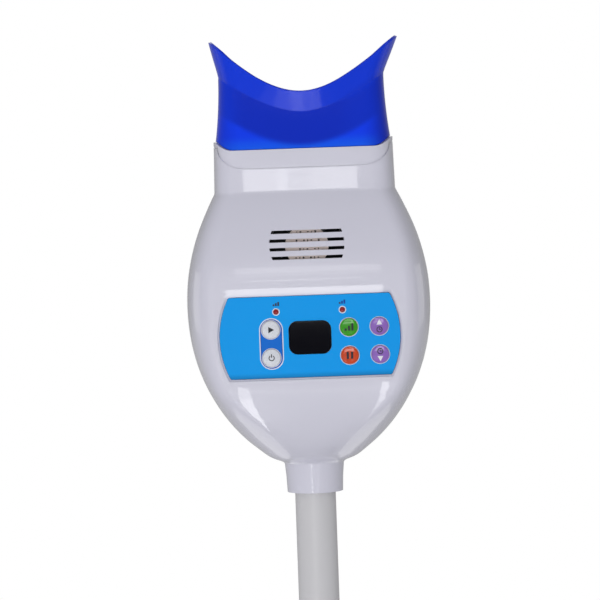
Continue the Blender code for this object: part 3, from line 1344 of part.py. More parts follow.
def make_light_engine():
    half_width, half_depth = LED_BOARD_HALF_WIDTH, LED_BOARD_HALF_DEPTH
    board_top = LED_BOARD_H + BOARD_THICKNESS
    board = piece("led_board", box_mesh((-half_width, -half_depth, LED_BOARD_H),
                                        (half_width, half_depth, board_top)), (ALUMINIUM, 0.4, 1.0), HEAD)
    sink_top = LED_BOARD_H - GAP
    sink_low = sink_top - SINK_BASE_THICKNESS
    screw_holes = [(place, (place[0], place[1], board_top + OVERRUN))
                   for place in led_screw_places(sink_low - OVERRUN)]
    holes = rods_mesh(SMALL_SHANK_RADIUS + GAP, screw_holes)
    cut(board, holes)

    def emitters(bm):
        for place in emitter_places():
            add_stepped_block(bm, place, EMITTER_SIZE, EMITTER_HEIGHT, EMITTER_LENS_SIZE,
                              EMITTER_LENS_HEIGHT, Matrix.Identity(4))
    join(board, to_mesh(emitters))
    profile = screw_profile(SMALL_HEAD_RADIUS, SMALL_HEAD_HEIGHT, SMALL_SHANK_RADIUS,
                            board_top + GAP - sink_low)
    add_screws("led_board_screw", profile, led_screw_places(board_top + GAP), (0, 0, 1), HEAD)
    base = box_mesh((-half_width, -half_depth, sink_low), (half_width, SINK_BACK_Y, sink_top))
    heat_sink = piece("heat_sink", base, (ALUMINIUM, 0.35, 1.0), HEAD)

    def fins(bm):
        for step in range(FINS):
            x = (step - (FINS - 1) * HALF) * FIN_PITCH
            add_box(bm, (x - FIN_THICKNESS * HALF, -FIN_FRONT_Y, sink_low - FIN_LENGTH),
                    (x + FIN_THICKNESS * HALF, SINK_BACK_Y - GAP, sink_low + SINK))
    join(heat_sink, to_mesh(fins))
    ear_low = sink_low - SINK_EAR_HEIGHT
    fin_edge = (FINS - 1) * HALF * FIN_PITCH + FIN_THICKNESS

    def ears(bm):
        for side in (-1, 1):
            ends = sorted((side * fin_edge, side * (half_width - SINK)))
            add_box(bm, (ends[0], SINK_BACK_Y - SINK_EAR_THICKNESS, ear_low),
                    (ends[1], SINK_BACK_Y - GAP, sink_low + SINK))
    join(heat_sink, to_mesh(ears))
    cut(heat_sink, holes.copy())
    ear_holes = [((x, 0, height), (x, SINK_BACK_Y + OVERRUN, height)) for x, height in sink_screw_places()]
    cut(heat_sink, rods_mesh(SMALL_SHANK_RADIUS + GAP, ear_holes))
    head_y = SINK_BACK_Y - SINK_EAR_THICKNESS - GAP
    length = SINK_EAR_THICKNESS + BOARD_BOSS_RADIUS
    profile = screw_profile(SMALL_HEAD_RADIUS, SMALL_HEAD_HEIGHT, SMALL_SHANK_RADIUS, length)
    places = [(x, head_y, height) for x, height in sink_screw_places()]
    add_screws("heat_sink_screw", profile, places, (0, -1, 0), HEAD)


def make_fan():
    place = fan_matrix()
    mount = empty("fan_axis", HEAD, place.translation, place.to_euler())
    half = FAN_SIZE * HALF
    frame = piece("fan_frame", box_mesh((-half, -half, -FAN_THICKNESS), (half, half, 0)),
                  (BLACK, 0.5), mount)
    cut(frame, rods_mesh(FAN_BORE_RADIUS, [((0, 0, -FAN_THICKNESS - OVERRUN), (0, 0, OVERRUN))], SEGMENTS))
    base_low = -FAN_BASE_THICKNESS
    join(frame, rods_mesh(FAN_BASE_RADIUS, [((0, 0, base_low), (0, 0, -SINK))], FINE_SEGMENTS))
    width = FAN_STRUT_WIDTH * HALF
    reach = FAN_BORE_RADIUS + SINK
    strut = box_mesh((-reach, -width, base_low + SINK), (reach, width, -SINK - SINK))
    strut.transform(Matrix.Rotation(pi * HALF * HALF, 4, "Z"))
    join(frame, strut)
    strut = strut.copy()
    strut.transform(Matrix.Rotation(pi * HALF, 4, "Z"))
    join(frame, strut)
    cut(frame, rods_mesh(FAN_HOLE_RADIUS, [((x, y, -FAN_THICKNESS - OVERRUN), (x, y, OVERRUN))
                                           for x, y in FAN_HOLES]))
    hub_top = base_low - FAN_HUB_GAP
    hub_low = -FAN_THICKNESS + FAN_HUB_GAP
    hub = turned_mesh([(0, hub_top), (FAN_HUB_RADIUS, hub_top), (FAN_HUB_RADIUS, hub_low), (0, hub_low)],
                      segments=FINE_SEGMENTS)
    rotor = piece("fan_rotor", hub, (BLACK, 0.45), mount)
    tip = FAN_BORE_RADIUS - FAN_BLADE_CLEARANCE
    root = FAN_HUB_RADIUS - SINK
    middle = (hub_top + hub_low) * HALF

    def blades(bm):
        for step in range(FAN_BLADES):
            made = add_box(bm, (root, -FAN_BLADE_THICKNESS * HALF, -FAN_BLADE_LENGTH * HALF),
                           (tip, FAN_BLADE_THICKNESS * HALF, FAN_BLADE_LENGTH * HALF))
            turn = Matrix.Rotation(tau * step / FAN_BLADES, 4, "Z")
            pitch = Matrix.Rotation(FAN_BLADE_PITCH, 4, "X")
            bmesh.ops.transform(bm, matrix=Matrix.Translation((0, 0, middle)) @ turn @ pitch, verts=made)
    join(rotor, to_mesh(blades))
    profile = screw_profile(SMALL_HEAD_RADIUS, SMALL_HEAD_HEIGHT, SMALL_SHANK_RADIUS,
                            FAN_THICKNESS + GAP + FAN_PILOT_END - GAP)
    places = [(x, y, -FAN_THICKNESS - GAP) for x, y in FAN_SCREWS]
    add_screws("fan_screw", profile, places, (0, 0, -1), mount)


def make_overlay_and_window():
    mesh = upright_plate(panel_outline(0.0), OVERLAY_FRONT_Y, OVERLAY_BACK_Y, PANEL_H)
    overlay = piece("keypad_overlay", mesh, (PANEL_BLUE, 0.35), HEAD)
    front, back = OVERLAY_FRONT_Y - OVERRUN, RECESS_Y + OVERRUN
    cut(overlay, rods_mesh(KEY_HOLE_RADIUS, key_spans(front, back), FINE_SEGMENTS))
    cut(overlay, rods_mesh(LAMP_RADIUS + GAP, lamp_spans(front, back)))
    cut(overlay, upright_plate(window_outline(GAP), front, back, PANEL_H - WINDOW_DROP))
    lens = upright_plate(window_outline(0.0), OVERLAY_FRONT_Y, BACKING_Y, PANEL_H - WINDOW_DROP)
    piece("display_window", lens, (BLACK, 0.1), HEAD)


# Keys: heights along each key's own axis, 0 at the panel's front face and + outwards
KEY_FLANGE_TOP = -(BACKING_REACH + GAP)
KEY_FLANGE_LOW = KEY_FLANGE_TOP - KEY_FLANGE_THICKNESS
LAMP_LOW = -(BOARD_SETBACK - GAP)
PLUNGER_TIP = SWITCH_HEIGHT + PLUNGER_HEIGHT - BOARD_SETBACK
KEY_STEM_END = PLUNGER_TIP + GAP + KEY_TRAVEL


def make_keys():
    profile = [(0, KEY_PROUD), (KEY_RADIUS - KEY_ROUNDING, KEY_PROUD),
               (KEY_RADIUS, KEY_PROUD - KEY_ROUNDING), (KEY_RADIUS, KEY_FLANGE_TOP),
               (KEY_RADIUS + KEY_FLANGE_LAP, KEY_FLANGE_TOP), (KEY_RADIUS + KEY_FLANGE_LAP, KEY_FLANGE_LOW),
               (KEY_STEM_RADIUS, KEY_FLANGE_LOW), (KEY_STEM_RADIUS, KEY_STEM_END), (0, KEY_STEM_END)]
    shared = turned_mesh(profile, segments=FINE_SEGMENTS)
    for name, (x, height) in KEY_PLACES.items():
        piece(name, shared.copy(), (KEY_COLOURS[name], 0.25), HEAD, (x, PANEL_Y, PANEL_H + height),
              (pi * HALF, 0, 0))


def make_lamps():
    low = LAMP_LOW
    profile = [(0, LAMP_PROUD), (LAMP_RADIUS - LAMP_PROUD, LAMP_PROUD), (LAMP_RADIUS, 0),
               (LAMP_RADIUS, low), (0, low)]
    shared = turned_mesh(profile, segments=SMALL_SEGMENTS)
    for name, side in (("indicator_high", -1), ("indicator_low", 1)):
        piece(name, shared.copy(), (DARK_RED, 0.2), HEAD, (side * LAMP_X, PANEL_Y, PANEL_H + LAMP_H),
              (pi * HALF, 0, 0))


def make_control_board():
    top, low = PANEL_H + BOARD_TOP_H, PANEL_H - BOARD_BOTTOM_H
    board = piece("control_board", box_mesh((-BOARD_HALF_WIDTH, BOARD_FRONT_Y, low),
                                            (BOARD_HALF_WIDTH, BOARD_BACK_Y, top)), (BOARD_GREEN, 0.5), HEAD)
    chip = CHIP_SIZE * HALF
    sunk = BOARD_BACK_Y - SINK

    def parts(bm):
        add_box(bm, (-chip, sunk, PANEL_H - chip), (chip, BOARD_BACK_Y + CHIP_HEIGHT, PANEL_H + chip))
        block = low + SOCKET_BLOCK_HEIGHT
        add_box(bm, (-SOCKET_BLOCK_WIDTH * HALF, sunk, block),
                (SOCKET_BLOCK_WIDTH * HALF, BOARD_BACK_Y + SOCKET_BLOCK_DEPTH, block + SOCKET_BLOCK_HEIGHT))
    join(board, to_mesh(parts))
    facing_front = Matrix.Rotation(pi * HALF, 4, "X")

    def switches(bm):
        for x, height in KEY_PLACES.values():
            add_stepped_block(bm, (x, BOARD_FRONT_Y + SINK, PANEL_H + height), SWITCH_SIZE,
                              SWITCH_HEIGHT + SINK, PLUNGER_SIZE, PLUNGER_HEIGHT, facing_front)
    join(board, to_mesh(switches))
    cut(board, rods_mesh(SMALL_SHANK_RADIUS + GAP, [((x, BOARD_FRONT_Y - OVERRUN, height),
                                                     (x, BOARD_BACK_Y + OVERRUN, height))
                                                    for x, height in BOARD_SCREWS]))
    seat = BOARD_BACK_Y + GAP
    profile = screw_profile(SMALL_HEAD_RADIUS, SMALL_HEAD_HEIGHT, SMALL_SHANK_RADIUS,
                            seat - BACKING_Y - GAP)
    places = [(x, seat, height) for x, height in BOARD_SCREWS]
    add_screws("control_board_screw", profile, places, (0, 1, 0), HEAD)
    buzzer = rods_mesh(BUZZER_RADIUS, [((BUZZER_X, seat, PANEL_H), (BUZZER_X, seat + BUZZER_HEIGHT, PANEL_H))],
                       FINE_SEGMENTS)
    piece("buzzer", buzzer, (BLACK, 0.5), HEAD)
    middle = PANEL_H - WINDOW_DROP
    piece("display_module", box_mesh((-DISPLAY_WIDTH * HALF, BACKING_Y + GAP, middle - DISPLAY_HEIGHT * HALF),
                                     (DISPLAY_WIDTH * HALF, BOARD_FRONT_Y - GAP,
                                      middle + DISPLAY_HEIGHT * HALF)), (PALE, 0.5), HEAD)


def make_driver_board():
    front = DRIVER_Y
    back = DRIVER_Y + BOARD_THICKNESS
    board = piece("driver_board", box_mesh((-DRIVER_HALF_WIDTH, front, DRIVER_H - DRIVER_HALF_HEIGHT),
                                           (DRIVER_HALF_WIDTH, back, DRIVER_H + DRIVER_HALF_HEIGHT)),
                  (BOARD_GREEN, 0.5), HEAD)
    sunk = front + SINK
    coil_x = -DRIVER_HALF_WIDTH * HALF * HALF

    def parts(bm):
        add_box(bm, (coil_x - COIL_SIZE * HALF, front - COIL_DEPTH, DRIVER_H - COIL_SIZE * HALF),
                (coil_x + COIL_SIZE * HALF, sunk, DRIVER_H + COIL_SIZE * HALF))
        x = coil_x + COIL_SIZE * HALF + CAPACITOR_RADIUS + CAPACITOR_RADIUS
        add_rod(bm, CAPACITOR_RADIUS, (x, sunk, DRIVER_H), (x, front - CAPACITOR_LENGTH, DRIVER_H))
    join(board, to_mesh(parts))
    cut(board, rods_mesh(SMALL_SHANK_RADIUS + GAP, [((x, front - OVERRUN, height), (x, back + OVERRUN, height))
                                                    for x, height in DRIVER_SCREWS]))
    seat = front - GAP
    profile = screw_profile(SMALL_HEAD_RADIUS, SMALL_HEAD_HEIGHT, SMALL_SHANK_RADIUS,
                            BOARD_THICKNESS + BOARD_BOSS_RADIUS * 2)
    places = [(x, seat, height) for x, height in DRIVER_SCREWS]
    add_screws("driver_screw", profile, places, (0, -1, 0), HEAD)


def make_leads():
    """Leads inside the head, each from one board or piece to the next."""
    front = DRIVER_Y - LEAD_END_GAP
    low_edge = DRIVER_H - DRIVER_HALF_HEIGHT + LEAD_RADIUS * 2
    pull = LEAD_RADIUS * 6
    start = (0, 0, THRUST_H + THRUST_THICKNESS * HALF)
    end = (0, front, low_edge)
    piece("head_lead", tube_mesh(bend(start, end, (0, 0, pull), (0, -pull, 0)), LEAD_RADIUS),
          (BLACK, 0.5), HEAD)
    led_x = LED_BOARD_HALF_WIDTH - FIN_MARGIN * HALF
    start = (DRIVER_HALF_WIDTH - LEAD_RADIUS, front, DRIVER_H)
    end = (led_x, 0, LED_BOARD_H - SINK_BASE_THICKNESS - LEAD_END_GAP)
    piece("led_lead", tube_mesh(bend(start, end, (0, -pull, 0), (0, 0, -pull)), THIN_LEAD_RADIUS),
          (DARK_RED, 0.5), HEAD)
    place = fan_matrix()
    corner = place @ Vector((0, -FAN_SIZE * HALF - LEAD_END_GAP, -FAN_THICKNESS * HALF))
    board_back = BOARD_BACK_Y + LEAD_END_GAP
    board_top = PANEL_H + BOARD_TOP_H - THIN_LEAD_RADIUS * 2
    piece("fan_lead", tube_mesh(bend(corner, (0, board_back, board_top), (0, 0, -THIN_LEAD_RADIUS * 2),
                                     (0, THIN_LEAD_RADIUS * 6, 0)), THIN_LEAD_RADIUS), (YELLOW, 0.5), HEAD)
    plug = PANEL_H - BOARD_BOTTOM_H + SOCKET_BLOCK_HEIGHT * 3 * HALF
    start = (0, BOARD_BACK_Y + SOCKET_BLOCK_DEPTH + LEAD_END_GAP, plug)
    end = (-LEAD_RADIUS * 4, front, low_edge)
    piece("panel_lead", tube_mesh(bend(start, end, (0, pull, 0), (0, -pull, 0)), THIN_LEAD_RADIUS),
          (PALE, 0.5), HEAD)


def hood_point(level, position):
    """Half width and depth of the blue shield at a level: 0 shoulder, 1 waist and crease, 2 rim."""
    shoulder = (COLLAR_TOP_HALF_WIDTH - HOOD_SHOULDER_INSET, COLLAR_DEPTH - HOOD_SHOULDER_INSET)
    waist = (HOOD_WAIST_HALF_WIDTH, HOOD_WAIST_DEPTH)
    crease = (HOOD_CREASE_HALF_WIDTH, HOOD_WAIST_DEPTH)
    rim = (HOOD_RIM_HALF_WIDTH, HOOD_WAIST_DEPTH + HOOD_RIM_FLARE)
    if level <= 1:
        eased = 1 - (1 - level) ** 2
        size = [mix(low, high, eased) for low, high in zip(shoulder, waist)]
    else:
        size = [mix(low, high, level - 1) for low, high in zip(crease, rim)]
    return quarter_point(size[0], size[1], COLLAR_FLAT_SHARE, COLLAR_POWER, 0.0, position)


def shoulder_height(side, position):
    """The shield's shoulder follows the lip of the light port, just above it."""
    return (port_height(position) if side < 0 else PORT_SIDE_H) + GAP


def hood_height(level, side, position, x):
    """Height of a place on the shield, from its shoulder to the saddle-shaped rim."""
    crease_share = min(abs(x) / HOOD_CREASE_HALF_WIDTH, 1.0)
    crease = HOOD_CREASE_FRONT_H + HOOD_CREASE_RISE * crease_share ** HOOD_CREASE_POWER
    rim_share = min(abs(x) / HOOD_RIM_HALF_WIDTH, 1.0)
    rim = HOOD_RIM_FRONT_H + HOOD_RIM_RISE * rim_share ** HOOD_RIM_POWER
    return mix(shoulder_height(side, position), crease, level) if level <= 1 else mix(crease, rim, level - 1)


def hood_columns():
    """(side, sign, position) of each point round the shield."""
    return [(side, sign, position) for side in (-1, 1) for sign, position in half_positions(side)[:-1]]


def make_mouth_shield():
    rows = [[], []]
    for side, sign, position in hood_columns():
        x, y = collar_point(HOOD_BASE_INSET, position)
        for row, height in zip(rows, (HOOD_SEAT_H + GAP, shoulder_height(side, position))):
            row.append((sign * x, side * y, height))
    levels = [step / HOOD_LOWER_ROWS for step in range(HOOD_LOWER_ROWS + 1)]
    levels += [1 + (step + 1) / HOOD_LIP_ROWS for step in range(HOOD_LIP_ROWS)]
    for level in levels:
        row = []
        for side, sign, position in hood_columns():
            x, y = hood_point(level, position)
            row.append((sign * x, side * y, hood_height(level, side, position, x)))
        rows.append(row)
    hood = piece("mouth_shield", grid_mesh(rows, loop_columns=True), (BLUE, 0.25, 0.0, 0.3), HEAD)
    thicken(hood, HOOD_WALL)


make_pad_and_weight()
make_base_cover()
make_base_bolt()
make_pole_socket()
make_socket_liner()
make_clamp()
make_inlet()
make_pole()
HEAD = empty("head_axis", None, (0, 0, NECK_BASE_Z))
make_front_shell()
make_rear_shell()
make_shell_screws()
make_neck_bush()
make_port_bezel()
make_light_window()
make_reflector_tray()
make_light_engine()
make_fan()
make_overlay_and_window()
make_keys()
make_lamps()
make_control_board()
make_driver_board()
make_leads()
make_mouth_shield()
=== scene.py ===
"""Teeth whitening lamp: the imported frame, dressed with smooth casings, printed keypad and studio light.

Metres. Heights written h are measured up from the lower edge of the head's neck.
"""
from math import acos, asin, atan, cos, pi, radians, sin, sqrt, tau

import bmesh
import bpy
from mathutils import Matrix, Vector


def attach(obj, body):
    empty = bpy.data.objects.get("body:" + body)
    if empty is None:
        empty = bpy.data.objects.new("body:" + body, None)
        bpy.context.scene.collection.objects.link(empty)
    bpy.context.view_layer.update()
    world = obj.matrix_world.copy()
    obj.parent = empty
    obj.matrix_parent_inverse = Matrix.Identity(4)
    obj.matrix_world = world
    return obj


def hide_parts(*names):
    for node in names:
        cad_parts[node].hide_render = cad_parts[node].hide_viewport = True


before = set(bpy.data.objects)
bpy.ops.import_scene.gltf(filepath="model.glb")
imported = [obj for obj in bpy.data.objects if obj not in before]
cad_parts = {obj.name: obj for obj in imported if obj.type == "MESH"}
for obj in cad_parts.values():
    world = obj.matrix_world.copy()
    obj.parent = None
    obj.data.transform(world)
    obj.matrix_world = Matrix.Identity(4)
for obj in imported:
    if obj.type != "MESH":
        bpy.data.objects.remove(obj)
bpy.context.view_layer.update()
SCENE = bpy.context.scene
NECK_Z = 0.19
WALL_DISTANCE = 3.0

# ---- camera and stage


def placed(name, data):
    """A new object in the scene."""
    made = bpy.data.objects.new(name, data)
    SCENE.collection.objects.link(made)
    return made


def wire(node, inputs):
    """Set a node's inputs to values, or link them to the outputs given."""
    for key, value in inputs.items():
        if isinstance(value, bpy.types.NodeSocket):
            node.id_data.links.new(value, node.inputs[key])
        else:
            node.inputs[key].default_value = value


def node_adder(owner, clear=True):
    """A function that adds a shader node with its inputs and gives its outputs."""
    owner.use_nodes = True
    nodes = owner.node_tree.nodes
    if clear:
        nodes.clear()

    def add_node(kind, inputs=None, **settings):
        made = nodes.new("ShaderNode" + kind)
        for key, value in settings.items():
            setattr(made, key, value)
        wire(made, inputs or {})
        return made.outputs
    return add_node


def ramp(node, value, low, high, first, last, **settings):
    """A value from one range carried over to another."""
    inputs = {"Value": value, "From Min": low, "From Max": high, "To Min": first, "To Max": last}
    return node("MapRange", inputs, **settings)["Result"]


def along(node, axis, kind="Object"):
    """The place along an axis of what is shaded."""
    return node("SeparateXYZ", {0: node("TexCoord")[kind]})[axis]


def make_camera():
    """Looks a little down on the head, rolled as the photograph is."""
    distance, field, lean, roll = 2.2, 0.36, radians(3.0), radians(2.05)
    centre = Vector((-0.0052, -0.015, NECK_Z + 0.1166))
    forward = Vector((0, cos(lean), -sin(lean)))
    level_up = Vector((0, sin(lean), cos(lean)))
    right = Vector((cos(roll), 0, 0)) - level_up * sin(roll)
    up = Vector((sin(roll), 0, 0)) + level_up * cos(roll)
    data = bpy.data.cameras.new("camera")
    data.sensor_width = 36.0
    data.lens = 36.0 * distance / field
    data.clip_end = 50.0
    SCENE.camera = placed("camera", data)
    turn = Matrix((right, up, -forward)).transposed()
    SCENE.camera.matrix_world = Matrix.Translation(centre - forward * distance) @ turn.to_4x4()


def add_light(name, place, target, size, power, glossy=True):
    """A rectangular soft box that faces a point."""
    data = bpy.data.lights.new(name, "AREA")
    data.shape = "RECTANGLE"
    data.size, data.size_y = size
    data.energy = power
    made = placed(name, data)
    place = Vector(place)
    turn = (place - Vector(target)).to_track_quat("Z", "Y").to_matrix().to_4x4()
    made.matrix_world = Matrix.Translation(place) @ turn
    made.visible_glossy = glossy
    made.visible_camera = False
    return made


def make_world():
    """White to the camera and in reflections. A dimmer sky, brighter below, lights the object."""
    world = bpy.data.worlds.new("studio")
    SCENE.world = world
    node = node_adder(world)
    path = node("LightPath")
    sky = ramp(node, along(node, "Z", "Generated"), -1.0, 1.0, 0.75, 0.42)
    shiny = node("Math", {0: path["Is Glossy Ray"], 1: path["Is Transmission Ray"]},
        operation="MAXIMUM")
    seen = node("Math", {0: path["Is Camera Ray"], 1: shiny[0]}, operation="MAXIMUM")
    strength = node("Mix", {0: seen[0], 2: sky, 3: 1.0})
    light = node("Background", {"Color": (1, 1, 1, 1), "Strength": strength[0]})
    node("OutputWorld", {"Surface": light[0]})


def make_floor():
    """A pale floor that fades to the white background away from the object."""
    mesh = mesh_of(lambda bm: bmesh.ops.create_grid(bm, x_segments=8, y_segments=8, size=3.0))
    made = placed("floor", mesh)
    made.location = (0, 0, -0.0002)
    look = bpy.data.materials.new("floor")
    node = node_adder(look)
    away = node("VectorMath", {0: node("TexCoord")["Object"]}, operation="LENGTH")
    fade = ramp(node, away["Value"], 0.16, 0.55, 0.0, 1.0, interpolation_type="SMOOTHSTEP")
    seen = node("Math", {0: node("LightPath")["Is Camera Ray"], 1: fade}, operation="MULTIPLY")
    cloth = node("BsdfDiffuse", {"Color": (0.86, 0.86, 0.86, 1)})
    white = node("Emission", {"Strength": 1.0})
    mixed = node("MixShader", {0: seen[0], 1: cloth[0], 2: white[0]})
    node("OutputMaterial", {"Surface": mixed[0]})
    mesh.materials.append(look)
    made.visible_shadow = False


def only_in_reflections(made):
    for ray in ("camera", "diffuse", "transmission", "volume_scatter", "shadow"):
        setattr(made, "visible_" + ray, False)


def glow(name, strength):
    """A plain light for a card: its strength, or a ramp of strengths from front to back."""
    made = bpy.data.materials.new(name)
    node = node_adder(made)
    if not isinstance(strength, float):
        strength = ramp(node, along(node, "Y"), -WALL_DISTANCE, WALL_DISTANCE, *strength)
    light = node("Emission", {"Strength": strength})
    node("OutputMaterial", {"Surface": light[0]})
    return made


def make_studio_walls():
    """The dim studio round the object, open behind it to the white background."""
    def build(bm):
        bmesh.ops.create_uvsphere(bm, u_segments=90, v_segments=45, radius=WALL_DISTANCE)
        middles = [(face, face.calc_center_median()) for face in bm.faces]
        half = WALL_DISTANCE * sin(radians(7))
        opening = [face for face, place in middles if place.y > 0 and abs(place.x) < half]
        bmesh.ops.delete(bm, geom=opening, context="FACES")
    mesh = mesh_of(build)
    mesh.materials.append(glow("studio_wall", (0.1, 0.34)))
    made = placed("studio_walls", mesh)
    made.location = (0, 0, 0.3)
    only_in_reflections(made)


def make_card(name, left, right, strengths):
    """A card that only reflections show, between two lines of points."""
    mesh = bpy.data.meshes.new(name)
    last = len(left)
    mesh.from_pydata([*left, *right], [], [(n, last + n, last + n + 1, n + 1) for n in range(last - 1)])
    for face, strength in zip(mesh.polygons, strengths):
        mesh.materials.append(glow(name, strength))
        face.material_index = len(mesh.materials) - 1
    only_in_reflections(placed(name, mesh))


def upright_card(name, sides, heights, y, strengths):
    make_card(name, *[[(x, y, height) for height in heights] for x in sides], strengths)


def make_cards():
    """Cards for the highlights on the collar, round the keypad, and low on the head."""
    far, near = -2.2, -0.2
    for name, sides, heights, strengths in (
            ("left", (-0.068, -0.0265), (), [5.3]), ("bright", (-0.0265, -0.015), (), [6.6]),
            ("barred", (-0.015, 0.013), (0.3275, 0.33, 0.3415, 0.344), [5.0, 3.2, 4.6, 3.0, 4.6]),
            ("right", (0.013, 0.068), (), [5.4])):
        upright_card("collar_card_" + name, sides, (0.318, *heights, 0.352), far, strengths)
    upright_card("panel_card", (-0.093, 0.093), (0.186, 0.212), far, [6.3])
    upright_card("brow_card", (-0.0457, 0.0464), (0.3212, 0.33, 0.339, 0.353), near, [0.1, 0.9, 1.7])
    make_card("streak_left",
              [(-0.0477, -0.2632, 0.2396), (-0.0501, -0.2484, 0.17), (-0.0547, -0.2115, 0.1043),
               (-0.0618, -0.1526, 0.0503), (-0.0688, -0.0892, 0.021)],
              [(-0.0406, -0.2629, 0.235), (-0.0411, -0.2517, 0.179), (-0.0471, -0.2158, 0.1091),
               (-0.0574, -0.1572, 0.0528), (-0.0686, -0.0867, 0.0201)], [4.9, 7.0, 7.6, 7.0])
    make_card("streak_right",
              [(0.0462, -0.2633, 0.2405), (0.0462, -0.2557, 0.1931), (0.0511, -0.227, 0.1262),
               (0.0572, -0.191, 0.0813), (0.0635, -0.1496, 0.0486)],
              [(0.0513, -0.2632, 0.2399), (0.051, -0.2549, 0.1901), (0.055, -0.2245, 0.1226),
               (0.0594, -0.1887, 0.0792), (0.0649, -0.1452, 0.0461)], [6.2, 5.8, 4.0, 2.5])
    for side in (-1, 1):
        table = [[(side * x, -0.05, 0.001), (side * x, 0.2, 0.001)] for x in (0.076, 0.22)]
        make_card("table_card", *table, [1.2])
        upright = [[(side * 0.3, 0.0, z), (side * 0.38, 0.3, z)] for z in (0.245, 0.365)]
        make_card("side_card", *upright, [0.85])


def add_gleam(name, place, target, size, strength, *receivers):
    """A soft box that only some objects mirror."""
    lamp = add_light(name, place, target, size, 4 * strength * size[0] * size[1])
    lamp.visible_diffuse = False
    group = bpy.data.collections.new(name)
    for made in receivers:
        group.objects.link(made)
    lamp.light_linking.receiver_collection = group


def light_lip(shield):
    """The pale table edge that the shield's lip mirrors, in four steps of brightness."""
    steps = ((-0.19, -0.141, 0.9), (-0.141, -0.0765, 2.8), (-0.0765, 0.0078, 5.2), (0.0078, 0.112, 3.5))
    for left, right, strength in steps:
        x = (left + right) / 2
        add_gleam("lip_gleam", (x, -0.4, 0.11), (x, -0.03, 0.43), (right - left, 0.12), strength, shield)


# ---- materials


def look(name, colour, roughness, metallic=0.0, vary=0.05, patch=90.0, grain=700.0, bump=0.03,
         worn=None, coat=None, specular=None, **constants):
    """A material with soft patches of colour, uneven gloss and a fine moulded surface."""
    made = bpy.data.materials.new(name)
    node = node_adder(made, clear=False)
    place = node("TexCoord")["Object"]

    def noise(scale, detail):
        return node("TexNoise", {"Scale": scale, "Detail": detail, "Vector": place})["Fac"]
    dark = (*[c * (1 - vary) for c in colour], 1)
    light = (*[min(c * (1 + vary), 1.0) for c in (worn or colour)], 1)
    tint = node("Mix", {0: noise(patch, 3.0), 6: dark, 7: light}, data_type="RGBA")
    gloss = ramp(node, noise(patch * 2.5, 2.0), 0.0, 1.0, roughness * 0.85, min(roughness * 1.15, 1.0))
    raised = node("Bump", {"Strength": bump, "Distance": 0.0002, "Height": noise(grain, 2.0)})
    shader = made.node_tree.nodes["Principled BSDF"]
    wire(shader, {"Base Color": tint[2], "Roughness": gloss, "Normal": raised["Normal"]})
    constants["Metallic"] = metallic
    if coat:
        constants["Coat Weight"], constants["Coat Roughness"] = coat
    if specular:
        constants["Specular IOR Level"] = specular
    wire(shader, constants)
    made.diffuse_color = (*colour, 1)
    return made


def multiply_colour(made, node, factor):
    """Multiply a material's base colour by another output."""
    shader = made.node_tree.nodes["Principled BSDF"]
    tint = shader.inputs["Base Color"].links[0].from_socket
    deep = node("Mix", {0: 1.0, 6: tint, 7: factor}, data_type="RGBA", blend_type="MULTIPLY")[2]
    wire(shader, {"Base Color": deep})
    return shader, deep


def paint_foot_shadow(made):
    """Paint a shadow into a print's colour, darker towards its lower edge."""
    node = node_adder(made, clear=False)
    shade = ramp(node, along(node, "Z"), 0.2614, 0.266, 0.58, 1.0, interpolation_type="SMOOTHSTEP")
    multiply_colour(made, node, shade)


CASING = look("casing", (0.645, 0.64, 0.742), 0.24, vary=0.012, patch=30, grain=260, bump=0.012,
    coat=(0.8, 0.018))
STAND = look("stand_white", (0.64, 0.64, 0.67), 0.28, vary=0.015, patch=30, grain=500, bump=0.05,
    coat=(0.4, 0.08))
POLE_PAINT = look("pole_paint", (0.6, 0.595, 0.62), 0.34, vary=0.015, patch=40, grain=900, bump=0.05,
    coat=(0.2, 0.15))
GUIDE = look("guide_plastic", (0.62, 0.62, 0.64), 0.45)
RUBBER = look("rubber_pad", (0.02, 0.02, 0.021), 0.85, vary=0.2, bump=0.3)
IRON = look("cast_weight", (0.16, 0.16, 0.165), 0.6, 1.0, vary=0.2, bump=0.6, grain=300)
BLACK = look("black_plastic", (0.012, 0.012, 0.014), 0.42, vary=0.2, bump=0.12, grain=1200)
KNOB = look("knob_black", (0.016, 0.016, 0.018), 0.38, vary=0.2, bump=0.2, grain=1500)
LEAD = look("lead_jacket", (0.015, 0.015, 0.017), 0.55, vary=0.2)
LEAD_RED = look("lead_red", (0.3, 0.012, 0.012), 0.5)
LEAD_YELLOW = look("lead_yellow", (0.55, 0.38, 0.02), 0.5)
LEAD_GREY = look("lead_grey", (0.3, 0.3, 0.32), 0.5)
STEEL = look("zinc_steel", (0.56, 0.56, 0.58), 0.3, 1.0, vary=0.08, bump=0.1, grain=1500)
ALUMINIUM = look("extruded_aluminium", (0.62, 0.62, 0.64), 0.38, 1.0, vary=0.06, bump=0.15, grain=900)
REFLECTOR = look("polished_reflector", (0.82, 0.83, 0.85), 0.12, 1.0, vary=0.03, bump=0.02)
BOARD = look("green_board", (0.01, 0.1, 0.03), 0.4, vary=0.25, patch=350, bump=0.25, grain=600)
BOARD_WHITE = look("white_board", (0.62, 0.63, 0.64), 0.35, vary=0.04, bump=0.1)
EMITTER = look("emitter_lens", (0.8, 0.66, 0.18), 0.15, vary=0.1, coat=(0.8, 0.03))
EMITTER_BODY = look("emitter_body", (0.72, 0.72, 0.7), 0.35)
FILM = {"grain": 1800, "bump": 0.05, "specular": 0.12}
OVERLAY = look("overlay_film", (0.004, 0.325, 0.85), 0.32, vary=0.02, patch=25, **FILM)
# Painted shadow along the keypad film's lower edge.
paint_foot_shadow(OVERLAY)
CAPSULE = look("capsule_ink", (0.008, 0.15, 0.63), 0.32, vary=0.03, **FILM)
NAVY = look("navy_ink", (0.008, 0.05, 0.34), 0.35, grain=1800, specular=0.15)
